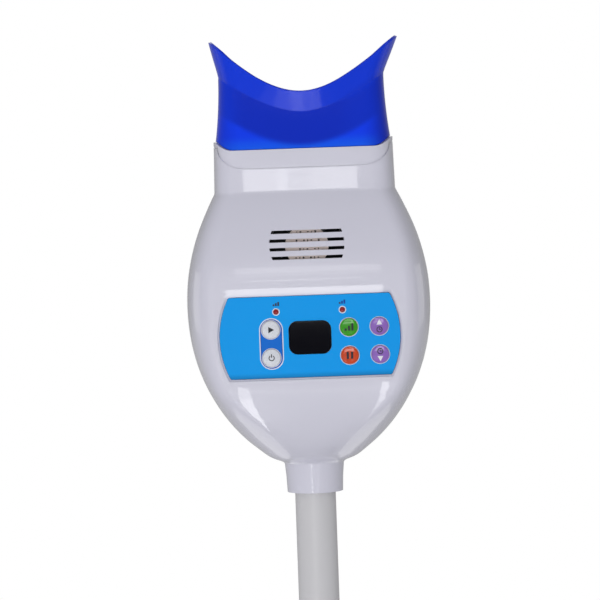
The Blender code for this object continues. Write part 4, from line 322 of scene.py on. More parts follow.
PALE_INK = look("pale_ink", (0.7, 0.73, 0.82), 0.35, vary=0.03, grain=1800)
DARK_INK = look("dark_ink", (0.035, 0.035, 0.045), 0.4, vary=0.1, grain=1800, specular=0.2)
WHITE_INK = look("white_ink", (0.78, 0.77, 0.84), 0.3, vary=0.02, grain=1800)
KEY_RIM = look("key_rim", (0.6, 0.62, 0.7), 0.25, vary=0.02, grain=900, coat=(0.5, 0.05))
KEY_WHITE = look("key_white", (0.6, 0.625, 0.7), 0.22, vary=0.16, patch=1600, grain=1400, bump=0.25,
    worn=(0.74, 0.76, 0.82), coat=(0.6, 0.06))
KEY = {"vary": 0.06, "grain": 900, "specular": 0.1, "coat": (0.5, 0.03)}
KEY_GREEN = look("key_green", (0.046, 0.36, 0.013), 0.25, **KEY)
KEY_ORANGE = look("key_orange", (0.66, 0.07, 0.02), 0.25, **KEY)
KEY_PURPLE = look("key_purple", (0.305, 0.152, 0.57), 0.25, **KEY)
LAMP_RED = look("lamp_red", (0.28, 0.005, 0.01), 0.15, vary=0.1, grain=900, coat=(0.9, 0.03))
SMOKED = look("smoked_window", (0.002, 0.002, 0.004), 0.05, vary=0.1, grain=900, bump=0.005, specular=0.25)
LABEL = look("fan_label", (0.93, 0.81, 0.75), 0.5, vary=0.06, patch=200)
LABEL_INK = look("label_ink", (0.06, 0.045, 0.05), 0.5)
CLEAR = {"Transmission Weight": 0.95, "IOR": 1.49}
GLASS = look("clear_window", (0.92, 0.94, 0.96), 0.04, vary=0.01, bump=0.005, **CLEAR)


def make_shield_look():
    """Blue translucent plastic whose colour is multiplied by painted light and shade: a painted shadow below
    the lip's crease, painted light lower down.
    """
    made = look("shield_blue", (1.0, 1.0, 1.0), 0.24, patch=18, grain=300, bump=0.02, specular=0.05,
        coat=(0.22, 0.07))
    node = node_adder(made, clear=False)
    shader, deep = multiply_colour(made, node, node("Attribute", attribute_name="painted_shading")["Color"])
    clear = node("BsdfTranslucent", {"Color": deep})
    mixed = node("MixShader", {0: 0.1, 1: shader.outputs[0], 2: clear[0]})
    wire(made.node_tree.nodes["Material Output"], {"Surface": mixed[0]})
    return made


SHIELD = make_shield_look()
# The shield's painted tones: the lip, the painted shadow below it (wall), painted light low on the wall, and
# the brightest painted light at the foot (edge).
SHIELD_PAINTED_TONES = ((0.007, 0.048, 0.78), (0.008, 0.034, 0.6), (0.009, 0.058, 0.97), (0.012, 0.125, 1.0))

# ---- mesh tools


def smooth(value):
    value = min(max(value, 0.0), 1.0)
    return value * value * (3 - 2 * value)


def mix(first, second, share):
    return first + (second - first) * share


def spread(first, last, steps):
    """Even steps from one value to another, both included."""
    return [mix(first, last, step / steps) for step in range(steps + 1)]


def ellipse(full, offset, semi_axis):
    return full * sqrt(max(1 - (offset / semi_axis) ** 2, 0.0))


def rounded(function, height, reach=0.0009):
    """A profile with its creases rounded off: its mean over a short stretch."""
    return sum(function(height + reach * step / 3) for step in range(-3, 4)) / 7


def mesh_of(build, outward=True, mesh=None):
    """A mesh that a function builds, new or in place of an older one."""
    bm = bmesh.new()
    build(bm)
    if outward:
        bmesh.ops.recalc_face_normals(bm, faces=bm.faces)
    mesh = mesh or bpy.data.meshes.new("mesh")
    bm.to_mesh(mesh)
    bm.free()
    return mesh


def grid(rows, loop_rows=False, loop_columns=False, fill=False):
    """Faces between rows of points, turned outwards from Z. fill closes the open ends."""
    def build(bm):
        points = [[bm.verts.new(point) for point in row] for row in rows]
        high, wide = len(points), len(points[0])
        for i in range(high if loop_rows else high - 1):
            for j in range(wide if loop_columns else wide - 1):
                i2, j2 = (i + 1) % high, (j + 1) % wide
                bm.faces.new((points[i][j], points[i][j2], points[i2][j2], points[i2][j]))
        if fill:
            bmesh.ops.holes_fill(bm, edges=[edge for edge in bm.edges if edge.is_boundary])
    mesh = mesh_of(build)
    outward = sum(face.normal.xy.dot(face.center.xy) * face.area for face in mesh.polygons)
    if outward < 0 and not (loop_rows or fill):
        mesh.flip_normals()
    return mesh


def turned(profile, segments=96, closed=False):
    """A profile of (radius, height) points swept round Z. Points on the axis are merged."""
    rows = [[(r * cos(tau * s / segments), r * sin(tau * s / segments), z) for s in range(segments)]
            for r, z in profile]
    return cleaned(grid(rows, loop_rows=closed, loop_columns=True), dissolve=True)


def rod(radius, low, high, segments, soft=0):
    """A solid cylinder along Z, with its edges rounded."""
    profile = [(0, low), (radius, low), (radius, high), (0, high)]
    return turned(soft_profile(profile, soft) if soft else profile, segments)


def cleaned(mesh, dissolve=False):
    """Merge the points that meet."""
    def build(bm):
        bm.from_mesh(mesh)
        bmesh.ops.remove_doubles(bm, verts=bm.verts, dist=1e-6)
        if dissolve:
            bmesh.ops.dissolve_degenerate(bm, dist=1e-7, edges=bm.edges)
    return mesh_of(build, mesh=mesh)


def round_corners(points, which, radius, steps=4):
    """Round the corners that are named by their place in an outline."""
    out = []
    for index, point in enumerate(points):
        if index not in which:
            out.append(point)
            continue
        b = Vector(point)
        into, away = b - Vector(points[index - 1]), Vector(points[(index + 1) % len(points)]) - b
        cut = min(radius, into.length * 0.45, away.length * 0.45)
        start, end = b - into.normalized() * cut, b + away.normalized() * cut
        for t in spread(0.0, 1.0, steps):
            out.append(tuple(start * (1 - t) ** 2 + b * 2 * t * (1 - t) + end * t ** 2))
    return out


def soft_profile(points, radius):
    """Round the inner corners of an open profile of (radius, height) points."""
    return round_corners(points, range(1, len(points) - 1), radius)


def moved(mesh, matrix):
    mesh.transform(matrix)
    return mesh


def facing(place, angle, axis):
    """A turn about an axis, then a move to a place."""
    return Matrix.Translation(place) @ Matrix.Rotation(angle, 4, axis)


def plate(outline, thick, holes=()):
    """A flat outline with holes, from the XY plane up."""
    curve = bpy.data.curves.new("outline", "CURVE")
    curve.dimensions = "2D"
    curve.fill_mode = "BOTH"
    curve.extrude = thick / 2
    for loop in (outline, *holes):
        line = curve.splines.new("POLY")
        line.points.add(len(loop) - 1)
        for point, (x, y) in zip(line.points, loop):
            point.co = (x, y, 0, 1)
        line.use_cyclic_u = True
    mesh = evaluated(placed("outline", curve))
    return moved(mesh, Matrix.Translation((0, 0, thick / 2)))


def evaluated(source):
    """The worked-out mesh of a temporary object, which is then removed."""
    bpy.context.view_layer.update()
    graph = bpy.context.evaluated_depsgraph_get()
    mesh = bpy.data.meshes.new_from_object(source.evaluated_get(graph))
    bpy.data.objects.remove(source, do_unlink=True)
    return cleaned(mesh)


def worked(mesh, steps):
    """Apply a list of modifiers, given as (type, settings), to a mesh."""
    source = placed("work", mesh)
    helpers = []
    for kind, settings in steps:
        change = source.modifiers.new(kind.lower(), kind)
        for key, value in settings.items():
            if isinstance(value, bpy.types.Mesh):
                value = placed("tool", value)
                helpers.append(value)
            setattr(change, key, value)
    made = evaluated(source)
    for helper in helpers:
        bpy.data.objects.remove(helper, do_unlink=True)
    return made


def carve(mesh, *tools, operation="DIFFERENCE"):
    return worked(mesh, [("BOOLEAN", {"operation": operation, "solver": "EXACT", "object": tool})
                         for tool in tools])


def bevelled(mesh, width, segments=2, angle=32):
    settings = {"width": width, "segments": segments, "limit_method": "ANGLE", "angle_limit": radians(angle),
                "miter_outer": "MITER_ARC", "use_clamp_overlap": True}
    return worked(mesh, [("BEVEL", settings)])


def walled(sheet):
    """A sheet with the casing's wall, inwards from its face."""
    settings = {"thickness": WALL, "offset": -1.0, "use_even_offset": True, "use_quality_normals": True}
    return worked(sheet, [("SOLIDIFY", settings)])


def joined(*meshes):
    """Several meshes as one."""
    def build(bm):
        for mesh in meshes:
            bm.from_mesh(mesh)
    return mesh_of(build, outward=False)


def box_mesh(low, high):
    low, high = Vector(low), Vector(high)
    place = Matrix.LocRotScale((low + high) / 2, None, high - low)
    return mesh_of(lambda bm: bmesh.ops.create_cube(bm, size=1.0, matrix=place))


def add(name, mesh, material, body, replaces=None, angle=32):
    """A piece of the scene that rides on a body."""
    mesh.name = name
    mesh.materials.clear()
    mesh.materials.append(material)
    mesh.shade_smooth()
    mesh.set_sharp_from_angle(angle=radians(angle))
    mesh = worked(mesh, [("WEIGHTED_NORMAL", {"keep_sharp": True})])
    mesh.name = name
    made = placed(name, mesh)
    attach(made, body)
    if replaces:
        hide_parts(replaces)
    return made


# ---- head surface

NECK_BOTTOM, NECK_TOP, NECK_TOP_H = 0.0168, 0.0176, 0.0187
BODY_WIDE, DROP, RISE = 0.0733, 0.0982, 0.1012
WIDEST_H = NECK_TOP_H + DROP * sqrt(1 - (NECK_TOP / BODY_WIDE) ** 2)
PANEL_H = WIDEST_H - 0.0176
FLAT_LOW_H, FLAT_TOP_H, REAR_H = PANEL_H - 0.0308, PANEL_H + 0.0312, WIDEST_H - 0.004
VENT_H = PANEL_H + 0.0544
COLLAR_H, COLLAR_DEEP = VENT_H + 0.0309, 0.03
COLLAR_BASE_WIDE = BODY_WIDE * sqrt(1 - ((COLLAR_H - WIDEST_H) / RISE) ** 2)
COLLAR_WIDE = COLLAR_BASE_WIDE - 0.00067
RING_H, SEAT_H = COLLAR_H + 0.0083, COLLAR_H + 0.0195
PORT_FRONT_H, PORT_SIDE_H = COLLAR_H + 0.0259, COLLAR_H + 0.0309
SEAM_FRONT_H, SEAM_SIDE_H, SEAM_FLAT = COLLAR_H + 0.0148, COLLAR_H + 0.0274, COLLAR_WIDE - 0.019
FRONT_DEEP, REAR_DEEP = 0.044, 0.04
WALL, GAP, RING_WALL = 0.0018, 0.0003, 0.0027
COLLAR_FLAT, COLLAR_POWER, BODY_FLAT, BODY_POWER, REAR_FLAT = 0.72, 3.0, 0.78, 2.35, 0.3
SLOT_PITCH, SLOT_TALL, SLOT_CIRCLE = 0.0051, 0.0019, 0.0223
CORNER_SHARE, CORNER_STEPS = 0.7, 22
TRIMS = ((0.0175, 0.0), (0.019, 0.0022), (0.0205, 0.0027), (0.0222, 0.0017), (0.0245, 0.0005),
         (0.027, -0.0003), (0.031, -0.0006), (0.037, -0.0009), (0.045, -0.001), (0.0585, -0.0009),
         (0.068, -0.0005), (0.08, -0.0001), (0.09, 0.0), (0.13, 0.0), (0.15, -0.0004),
         (0.165, -0.0007), (0.172, -0.0007), (0.178, -0.0003), (0.1817, 0.0))


def half_width_at(height):
    if height <= NECK_TOP_H:
        return mix(NECK_BOTTOM, NECK_TOP, height / NECK_TOP_H)
    if height <= WIDEST_H:
        return ellipse(BODY_WIDE, WIDEST_H - height, DROP)
    if height <= COLLAR_H:
        return ellipse(BODY_WIDE, height - WIDEST_H, RISE)
    return mix(COLLAR_BASE_WIDE, COLLAR_WIDE, (height - COLLAR_H) / (PORT_SIDE_H - COLLAR_H))


def trim_at(height):
    """What the outline seen from the front has more than its two ellipses."""
    for (low, before), (high, after) in zip(TRIMS, TRIMS[1:]):
        if low <= height <= high:
            return mix(before, after, (height - low) / (high - low))
    return 0.0


def swell(full, offset, reach, end):
    """An ellipse that has shrunk to its end size where it reaches its end."""
    return ellipse(full, offset, reach / sqrt(1 - (end / full) ** 2))


def front_depth_at(height):
    if height <= NECK_TOP_H:
        return half_width_at(height)
    if height <= FLAT_LOW_H:
        return swell(FRONT_DEEP, FLAT_LOW_H - height, FLAT_LOW_H - NECK_TOP_H, NECK_TOP)
    if height <= FLAT_TOP_H:
        return FRONT_DEEP
    share = min((height - FLAT_TOP_H) / (COLLAR_H - FLAT_TOP_H), 1.0)
    return mix(FRONT_DEEP, COLLAR_DEEP, share ** 2)


def rear_depth_at(height):
    if height <= NECK_TOP_H:
        return half_width_at(height)
    if height <= REAR_H:
        return swell(REAR_DEEP, REAR_H - height, REAR_H - NECK_TOP_H, NECK_TOP)
    if height <= COLLAR_H:
        return swell(REAR_DEEP, height - REAR_H, COLLAR_H - REAR_H, COLLAR_DEEP)
    return COLLAR_DEEP


def quarter_point(half_width, depth, flat, power, roundness, position):
    """Point of a level quarter section, from the side (0) to the middle of the face (1)."""
    angle = position * pi / 2
    if position < CORNER_SHARE:
        turn = position / CORNER_SHARE * pi / 2
        x = half_width * (flat + (1 - flat) * cos(turn) ** (2 / power))
        y = depth * sin(turn) ** (2 / power)
    else:
        x, y = half_width * flat * (1 - position) / (1 - CORNER_SHARE), depth
    return mix(x, half_width * cos(angle), roundness), mix(y, depth * sin(angle), roundness)


def head_point(height, side, position):
    blend = smooth((height - FLAT_TOP_H) / (COLLAR_H - FLAT_TOP_H))
    depth = rounded(front_depth_at if side < 0 else rear_depth_at, height)
    flat = mix(BODY_FLAT if side < 0 else REAR_FLAT, COLLAR_FLAT, blend)
    roundness = 1 - smooth((height - NECK_TOP_H) / (FLAT_LOW_H - NECK_TOP_H))
    width = rounded(half_width_at, height) + rounded(trim_at, height, 0.0015)
    power = mix(BODY_POWER, COLLAR_POWER, blend)
    return quarter_point(width, depth, flat, power, roundness, position)


def level_point(half_width, depth, position):
    """Point of a level quarter section of the collar's form."""
    return quarter_point(half_width, depth, COLLAR_FLAT, COLLAR_POWER, 0.0, position)


def collar_point(inset, position):
    return level_point(COLLAR_WIDE - inset, COLLAR_DEEP - inset, position)


def positions(side, flats=6):
    """Columns of half a section. They crowd together where the corners turn."""
    shares = [CORNER_SHARE * (1 - cos(pi * step / CORNER_STEPS)) / 2 for step in range(CORNER_STEPS)]
    shares += spread(CORNER_SHARE, 1.0, flats)
    return [(side, share) for share in shares] + [(-side, share) for share in reversed(shares[:-1])]


def head_rows():
    """Heights of the head's rows: even by angle, with a cluster at each crease."""
    start = asin(NECK_TOP / BODY_WIDE)
    end = acos((COLLAR_H - WIDEST_H) / RISE)
    rows = {0.0, NECK_TOP_H / 2}
    rows |= {WIDEST_H - DROP * cos(turn) for turn in spread(start, pi / 2, 44)[1:]}
    rows |= {WIDEST_H + RISE * cos(turn) for turn in spread(pi / 2, end, 40)[:-1]}
    rows |= set(spread(COLLAR_H, PORT_SIDE_H + 0.002, 12)[2:])
    rows |= {crease + 0.0004 * step for crease in (NECK_TOP_H, COLLAR_H) for step in range(-4, 5)}
    kept = []
    for height in sorted(rows):
        if not kept or height - kept[-1] > 0.0003:
            kept.append(height)
    return kept


def head_sheet(side):
    """Half of the casing with its wall, cut off level at the parting plane."""
    rows = []
    for height in head_rows():
        points = [(sign, *head_point(height, side, position)) for sign, position in positions(side)]
        row = [(sign * x, side * y, NECK_Z + height) for sign, x, y in points]
        first, last = [(point[0], -side * 0.003, point[2]) for point in (row[0], row[-1])]
        rows.append([first, *row, last])
    low, high = sorted((-side * 0.2, side * GAP / 2))
    return carve(walled(grid(rows)), box_mesh((-0.2, low, 0.1), (0.2, high, 0.6)))


def facing_front(mesh, y, height=PANEL_H, x=0.0):
    """Turn a mesh drawn on XY to face -Y, its origin at a height on the head."""
    return moved(mesh, facing((x, y, NECK_Z + height), pi / 2, "X"))


def panel_outline(margin, corner=0.0008):
    """The keypad's outline: level top and bottom, ends bowed outwards, corners just rounded."""
    half_height, half_width, bulge = 0.0244, 0.0478, 0.0059
    radius = (half_height ** 2 + bulge ** 2) / (2 * bulge)
    centre_x, outer = half_width + bulge - radius, radius + margin
    reach = asin((half_height + margin) / outer)
    right = [(centre_x + outer * cos(angle), outer * sin(angle)) for angle in spread(-reach, reach, 24)]
    loop = right + [(-x, -y) for x, y in right]
    return round_corners(loop, {0, 24, 25, 49}, corner)


def circle(radius, x=0.0, y=0.0, steps=48):
    return [(x + radius * cos(tau * s / steps), y + radius * sin(tau * s / steps)) for s in range(steps)]


def rounded_box(width, height, corner, x=0.0, y=0.0, steps=10):
    loop = []
    across, up = width / 2 - corner, height / 2 - corner
    for turn, (a, b) in enumerate(((1, 1), (-1, 1), (-1, -1), (1, -1))):
        for angle in spread(turn * pi / 2, (turn + 1) * pi / 2, steps):
            loop.append((x + a * across + corner * cos(angle), y + b * up + corner * sin(angle)))
    return loop


def slot_outline(low, high, steps=3):
    """An air slot whose ends follow the fan's circle."""
    sides = [(sqrt(SLOT_CIRCLE ** 2 - y * y), y) for y in spread(low, high, steps)]
    loop = sides + [(-x, y) for x, y in reversed(sides)]
    return round_corners(loop, {0, steps, steps + 1, 2 * steps + 1}, 0.0003)


KEYS = {"start_button": (-0.0232, 0.0046), "power_button": (-0.0232, -0.0121),
        "level_button": (0.0232, 0.0046), "pause_button": (0.0232, -0.0121),
        "time_up_button": (0.0412, 0.0046), "time_down_button": (0.0412, -0.0121)}
LAMPS = {"indicator_high": -0.0197, "indicator_low": 0.0197}
LAMP_H = 0.0151
KEY_CAP, KEY_HOLE, KEY_DOME = 0.00525, 0.0056, 0.0008
LAMP_RADIUS, LAMP_HOLE = 0.0016, 0.0019
WINDOW_DROP = 0.0007
WINDOW, WINDOW_HOLE = (0.0248, 0.0194, 0.005), (0.0254, 0.02, 0.0053)
PANEL_Y = -FRONT_DEEP
RECESS = 0.0012
OVERLAY_Y = PANEL_Y + RECESS - GAP - 0.0007
SCREWS = [(side * (half_width_at(height) - inset), height) for side in (-1, 1)
          for height, inset in ((WIDEST_H + 0.032, 0.0121), (NECK_TOP_H + 0.0313, 0.0188))]


def above_seam(margin):
    """The front's space above the U-shaped seam."""
    reach = COLLAR_WIDE - WALL - GAP - GAP
    rise = SEAM_SIDE_H - SEAM_FRONT_H
    arc = [(SEAM_FLAT + (reach - SEAM_FLAT) * sin(turn), SEAM_SIDE_H - rise * cos(turn) + margin)
           for turn in spread(0.0, pi / 2, 24)]
    right = arc + [(0.058, SEAM_SIDE_H + margin), (0.058, 0.2186)]
    outline = right + [(-x, y) for x, y in reversed(right)]
    return facing_front(plate(outline, 0.032), -0.00015, 0.0)


def keypad_holes():
    """Outlines of the holes for the keys, the lamps and the display."""
    keys = [circle(KEY_HOLE, x, y) for x, y in KEYS.values()]
    lamps = [circle(LAMP_HOLE, x, LAMP_H, 24) for x in LAMPS.values()]
    return [*keys, *lamps, rounded_box(*WINDOW_HOLE, 0, -WINDOW_DROP)]


def make_front_casing():
    shell = head_sheet(-1)
    deep = 0.0034
    backing = facing_front(plate(panel_outline(0.0027), deep - RECESS - 0.0002), PANEL_Y + deep)
    recess = facing_front(plate(panel_outline(0.0012), 0.004), PANEL_Y + RECESS)
    tools = [plate(outline, 0.02) for outline in keypad_holes()]
    holes = facing_front(joined(*tools), PANEL_Y + 0.01)
    middles = [row * SLOT_PITCH for row in (-1.5, -0.5, 0.5, 1.5)]
    slots = [plate(slot_outline(y - SLOT_TALL / 2, y + SLOT_TALL / 2), 0.02) for y in middles]
    vents = facing_front(joined(*slots), PANEL_Y + 0.012, VENT_H)
    shell = bevelled(carve(shell, above_seam(0.0)), 0.00085, 3)
    shell = carve(shell, backing, operation="UNION")
    shell = bevelled(carve(shell, recess, holes, vents), 0.00025)
    add("front_casing", shell, CASING, "head", "front_shell")


def rear_slots():
    heights = [VENT_H - 0.0079 + (row - 2.5) * 0.0055 for row in range(6)]
    slots = [plate(rounded_box(0.036, 0.0022, 0.00105, 0, height, 6), 0.03) for height in heights]
    return facing_front(joined(*slots), 0.045, 0)


def make_rear_casing():
    shell = head_sheet(1)
    wells = [moved(rod(0.0031, 0, 0.045, 32), facing((x, 0.004, NECK_Z + height), -pi / 2, "X"))
             for x, height in SCREWS]
    top = box_mesh((-0.2, -0.01, NECK_Z + PORT_SIDE_H), (0.2, 0.06, 0.6))
    shell = carve(shell, joined(*wells), rear_slots(), top)
    shell = bevelled(shell, 0.00028)
    add("rear_casing", shell, CASING, "head", "rear_shell")


def port_height(position):
    """Height of the port's lip at a column of the front, lowest in the middle."""
    corner = max((collar_point(0.0, position)[0] / COLLAR_WIDE - 0.78) / 0.195, 0.0)
    return mix(PORT_FRONT_H, PORT_SIDE_H, min(corner, 1.0) ** 2.2)


def collar_loop(inset, height):
    points = [(side, sign, *collar_point(inset, position))
              for side in (-1, 1) for sign, position in positions(side)[:-1]]
    return [(sign * x, side * y, NECK_Z + height) for side, sign, x, y in points]


def band_part(skin, back, margin):
    """The band above the seam, between two depths, from a margin above the seam's line."""
    low, root, wall = SEAM_FRONT_H - 0.002, SEAT_H - 0.0005, WALL + GAP + 0.001
    rows = []
    for inset, height in ((skin, low), (skin, 0), (back, 0), (back, root), (wall, root), (wall, low)):
        rows.append([])
        for sign, position in positions(-1):
            x, y = collar_point(inset, position) if inset else head_point(PORT_FRONT_H, -1, position)
            rows[-1].append((sign * x, -y, NECK_Z + (height or port_height(position))))
    return carve(grid(rows, loop_rows=True, fill=True), above_seam(margin), operation="INTERSECT")


def make_port_band():
    """The white band above the U-shaped seam, its sunk edge and its ring inside the collar."""
    band = bevelled(band_part(0, WALL, 0.0013), 0.0006, 3)
    inner = WALL + GAP + RING_WALL
    flange, ledge = inner + 0.0025, RING_H + 0.002
    section = ((WALL + GAP, RING_H), (WALL + GAP, SEAT_H), (inner, SEAT_H), (inner, ledge),
               (flange, ledge), (flange, RING_H))
    ring = grid([collar_loop(*point) for point in section], loop_rows=True, loop_columns=True)
    band = joined(carve(band, ring, operation="UNION"), band_part(0.0002, 0.0014, GAP / 2))
    add("port_band", band, CASING, "head", "port_bezel")


# ---- blue shield

HOOD_SHOULDER = (COLLAR_WIDE - 0.0013, COLLAR_DEEP - 0.0005)
HOOD_WAIST = (HOOD_SHOULDER[0] - 0.0028, HOOD_SHOULDER[1] - 0.0025)
HOOD_CREASE_WIDE = HOOD_WAIST[0] + 0.0002
HOOD_RIM = (HOOD_CREASE_WIDE + 0.0068, HOOD_WAIST[1] + 0.0048)
HOOD_CREASE_H = PORT_FRONT_H + 0.0218
HOOD_RIM_H = HOOD_CREASE_H + 0.0119


def hood_point(level, position):
    """Half width and depth of the shield at a level: 0 shoulder, 1 crease, 2 rim."""
    if level <= 1:
        size = [mix(low, high, 1 - (1 - level) ** 2) for low, high in zip(HOOD_SHOULDER, HOOD_WAIST)]
    else:
        up = level - 1
        size = mix(HOOD_CREASE_WIDE, HOOD_RIM[0], up ** 1.25), mix(HOOD_WAIST[1], HOOD_RIM[1], up)
    return level_point(*size, position)


def hood_crease(x):
    return HOOD_CREASE_H + 0.0222 * min(abs(x) / HOOD_CREASE_WIDE, 1.0) ** 1.7


def shoulder_height(side, position):
    return (port_height(position) if side < 0 else PORT_SIDE_H) + GAP


def hood_height(level, side, position, x):
    crease = hood_crease(x)
    rim = HOOD_RIM_H + 13.6 * x ** 2 / (1 + (x / 0.09) ** 2)
    return mix(shoulder_height(side, position), crease, level) if level <= 1 else mix(crease, rim, level - 1)


def lean(height):
    """How far the tips of the lip stand over to the right."""
    return 0.085 * max(height - 0.25, 0.0)


def make_shield():
    levels = {*spread(0.0, 1.0, 30), 0.985, 1.03, *spread(1.0, 2.0, 14)}
    columns = [(side, sign, position) for side in (-1, 1) for sign, position in positions(side, 16)[:-1]]
    rows = [[], []]
    for side, sign, position in columns:
        x, y = collar_point(WALL + GAP, position)
        for row, height in zip(rows, (SEAT_H + GAP, shoulder_height(side, position))):
            row.append((sign * x, side * y, NECK_Z + height))
    for level in sorted(levels):
        row = []
        for side, sign, position in columns:
            x, y = hood_point(level, position)
            height = hood_height(level, side, position, x)
            row.append((sign * x + lean(height), side * y, NECK_Z + height))
        rows.append(row)
    shield = bevelled(walled(grid(rows, loop_columns=True)), 0.0006, 3, 50)
    # Paint light and shade into the shield's colour: the wall tone is a painted shadow below the crease, the
    # tones brighten towards the foot as painted light, and the sides are painted darker.
    painted_shading = shield.attributes.new("painted_shading", "FLOAT_COLOR", "POINT")
    lip, wall, painted_low_light, edge = (Vector(colour) for colour in SHIELD_PAINTED_TONES)
    for vert, value in zip(shield.vertices, painted_shading.data):
        x, height = vert.co.x, vert.co.z - NECK_Z
        crease = hood_crease(x)
        lower = 0.2098 + 0.017 * min(abs(x) / 0.045, 1.2) ** 1.9
        fade = 1 - smooth(max(x - 0.018, -x - 0.034) / 0.016)
        below = smooth((height - lower + 0.0022) / 0.0044)
        tone = painted_low_light.lerp(edge, 1 - smooth((height - PORT_FRONT_H) / 0.009)).lerp(wall, below)
        tone = tone.lerp(wall, max(smooth((x - 0.034) / 0.016), 0.5 * smooth((-x - 0.036) / 0.014)))
        tone = tone.lerp(lip, (0.25 if x > 0 else 0.65) * (1 - fade) * below)
        above = height - crease + 0.0004 + 0.004 * (1 - fade)
        tone = tone.lerp(lip, smooth(above / (0.0012 + 0.008 * (1 - fade))))
        value.color = (*tone, 1)
    return add("shield", shield, SHIELD, "mouth_shield", "mouth_shield", 50)


# ---- keypad


def ink(name, material, outline, holes=(), lift=0.0):
    """A mark that stands a hair proud of the film: print, or a painted shadow line at the film's edge."""
    mesh = facing_front(plate(outline, 0.00006, holes), OVERLAY_Y - lift)
    add(name, mesh, material, "head")


def capsule(width):
    """An outline with round ends about the two white keys."""
    return rounded_box(width, width + 0.0164, width / 2 - 1e-6, -0.023, -0.0038, 14)


def ring(outer, inner, x, y, steps=48):
    """A round outline and its hole."""
    return circle(outer, x, y, steps), [circle(inner, x, y, steps)]


def make_keypad():
    thick = 0.0007
    film = facing_front(plate(panel_outline(0.0), thick, keypad_holes()), OVERLAY_Y + thick)
    add("keypad_film", bevelled(film, 0.00012), OVERLAY, "head", "keypad_overlay")
    outer, edge, line, inner = map(capsule, (0.0142, 0.013, 0.0129, 0.0122))
    white_keys = ("start_button", "power_button")
    key_holes = [circle(KEY_HOLE, *KEYS[name]) for name in white_keys]
    ink("capsule_line", PALE_INK, outer, [edge])
    ink("capsule_fill", CAPSULE, edge, key_holes)
    ink("capsule_inner", NAVY, line, [inner], lift=0.00005)
    # A thin dark line painted round the film's edge: painted shade where the film meets its recess.
    ink("painted_film_edge_shade", DARK_INK, panel_outline(0.00001), [panel_outline(-0.00017)])
    for name in KEYS:
        lift = 0.0001 if name in white_keys else 0.0
        ink("ring_" + name, WHITE_INK, *ring(0.0058, 0.0055, *KEYS[name]), lift)
    for name, at in LAMPS.items():
        ink("ring_" + name, WHITE_INK, *ring(0.0022, 0.0017, at, LAMP_H, 32))
    for name, x, bars in (("high", -0.0196, 3), ("low", 0.0196, 1)):
        for step in range(3):
            left, low, top = x + (step - 1) * 0.0014 - 0.0005, 0.0186, 0.0189 + 0.0007 * (step + 1)
            right = left + 0.001
            ink(f"mark_{name}_{step}", DARK_INK if step < bars else NAVY,
                [(left, low), (right, low), (right, top), (left, top)])
    thick = 0.0031
    pane = facing_front(plate(rounded_box(*WINDOW, 0, -WINDOW_DROP), thick), OVERLAY_Y + thick)
    add("display_pane", bevelled(pane, 0.0003, 3), SMOKED, "head", "display_window")


def bar(width, height, x=0.0, y=0.0):
    return rounded_box(width, height, min(width, height) * 0.2, x, y, 3)


def key_marks(name):
    """Generic marks in place of the words: their ink, outline and holes."""
    if name == "start_button":
        return [(DARK_INK, [(-0.0014, -0.0019), (0.002, 0.0), (-0.0014, 0.0019)])]
    if name == "power_button":
        turns = spread(radians(125), radians(415), 24)
        outer = [(0.0018 * cos(a), 0.0018 * sin(a)) for a in turns]
        inner = [(0.0013 * cos(a), 0.0013 * sin(a)) for a in reversed(turns)]
        return [(DARK_INK, outer + inner), (DARK_INK, bar(0.0006, 0.002, 0, 0.0013))]
    if name == "level_button":
        return [(DARK_INK, bar(0.0013, 0.0014 * (s + 1), 0.002 * (s - 1), -0.0013 + 0.0007 * s))
                for s in range(3)]
    if name == "pause_button":
        return [(DARK_INK, bar(0.0013, 0.0042, side * 0.0013)) for side in (-1, 1)]
    up = 1 if name == "time_up_button" else -1
    tip, foot, half = 0.0041 * up, 0.001 * up, 0.0017
    clock = -0.0019 * up
    return [(WHITE_INK, [(-half, foot), (half, foot), (0.0, tip)]),
            (DARK_INK, *ring(0.0018, 0.0013, 0, clock, 24)),
            (DARK_INK, bar(0.0004, 0.0013, 0, clock + 0.0005)),
            (DARK_INK, bar(0.001, 0.0004, 0.0003, clock))]


def make_keys():
    """Six keys with low domes. A soft box shows as a pale crescent on the coloured ones."""
    colours = {"level_button": KEY_GREEN, "pause_button": KEY_ORANGE, "time_up_button": KEY_PURPLE,
               "time_down_button": KEY_PURPLE}
    top = 0.001
    rim = [(0, -0.0047), (0.0065, -0.0047), (0.0065, -0.0037), (0.0053, -0.0037), (0.0053, 0.0003),
           (KEY_CAP + 0.00005, top - 0.0002), (KEY_CAP - 0.0003, top - 0.0003), (0, top - 0.0003)]
    foot, proud = top - 0.00025, top - 0.00018 + KEY_DOME / 2
    turns = spread(radians(88), radians(5.5), 15)
    arc = [(KEY_CAP * sin(turn), foot + KEY_DOME * cos(turn)) for turn in turns]
    dome = [(KEY_CAP, top - 0.0004), *arc, (0, foot + KEY_DOME)]
    caps = []
    for name, (x, y) in KEYS.items():
        place = (PANEL_H + y, x)
        lower = facing_front(joined(turned(rim, 56), rod(0.002, -0.0064, -0.0045, 24)), PANEL_Y, *place)
        add(name + "_rim", lower, KEY_RIM if name in colours else KEY_WHITE, name, name)
        upper = facing_front(turned(dome, 56), PANEL_Y, *place)
        cap = add(name + "_cap", upper, colours.get(name, KEY_WHITE), name)
        if name in colours:
            caps.append(cap)
        for number, (shade, outline, *holes) in enumerate(key_marks(name)):
            mark = facing_front(plate(outline, KEY_DOME / 2, *holes), PANEL_Y - proud, *place)
            add(f"{name}_mark_{number}", mark, shade, name)
    add_gleam("key_gleam", (0.0, -2.0, 0.92), (0, 0, 0.28), (1.1, 0.9), 6.0, *caps)


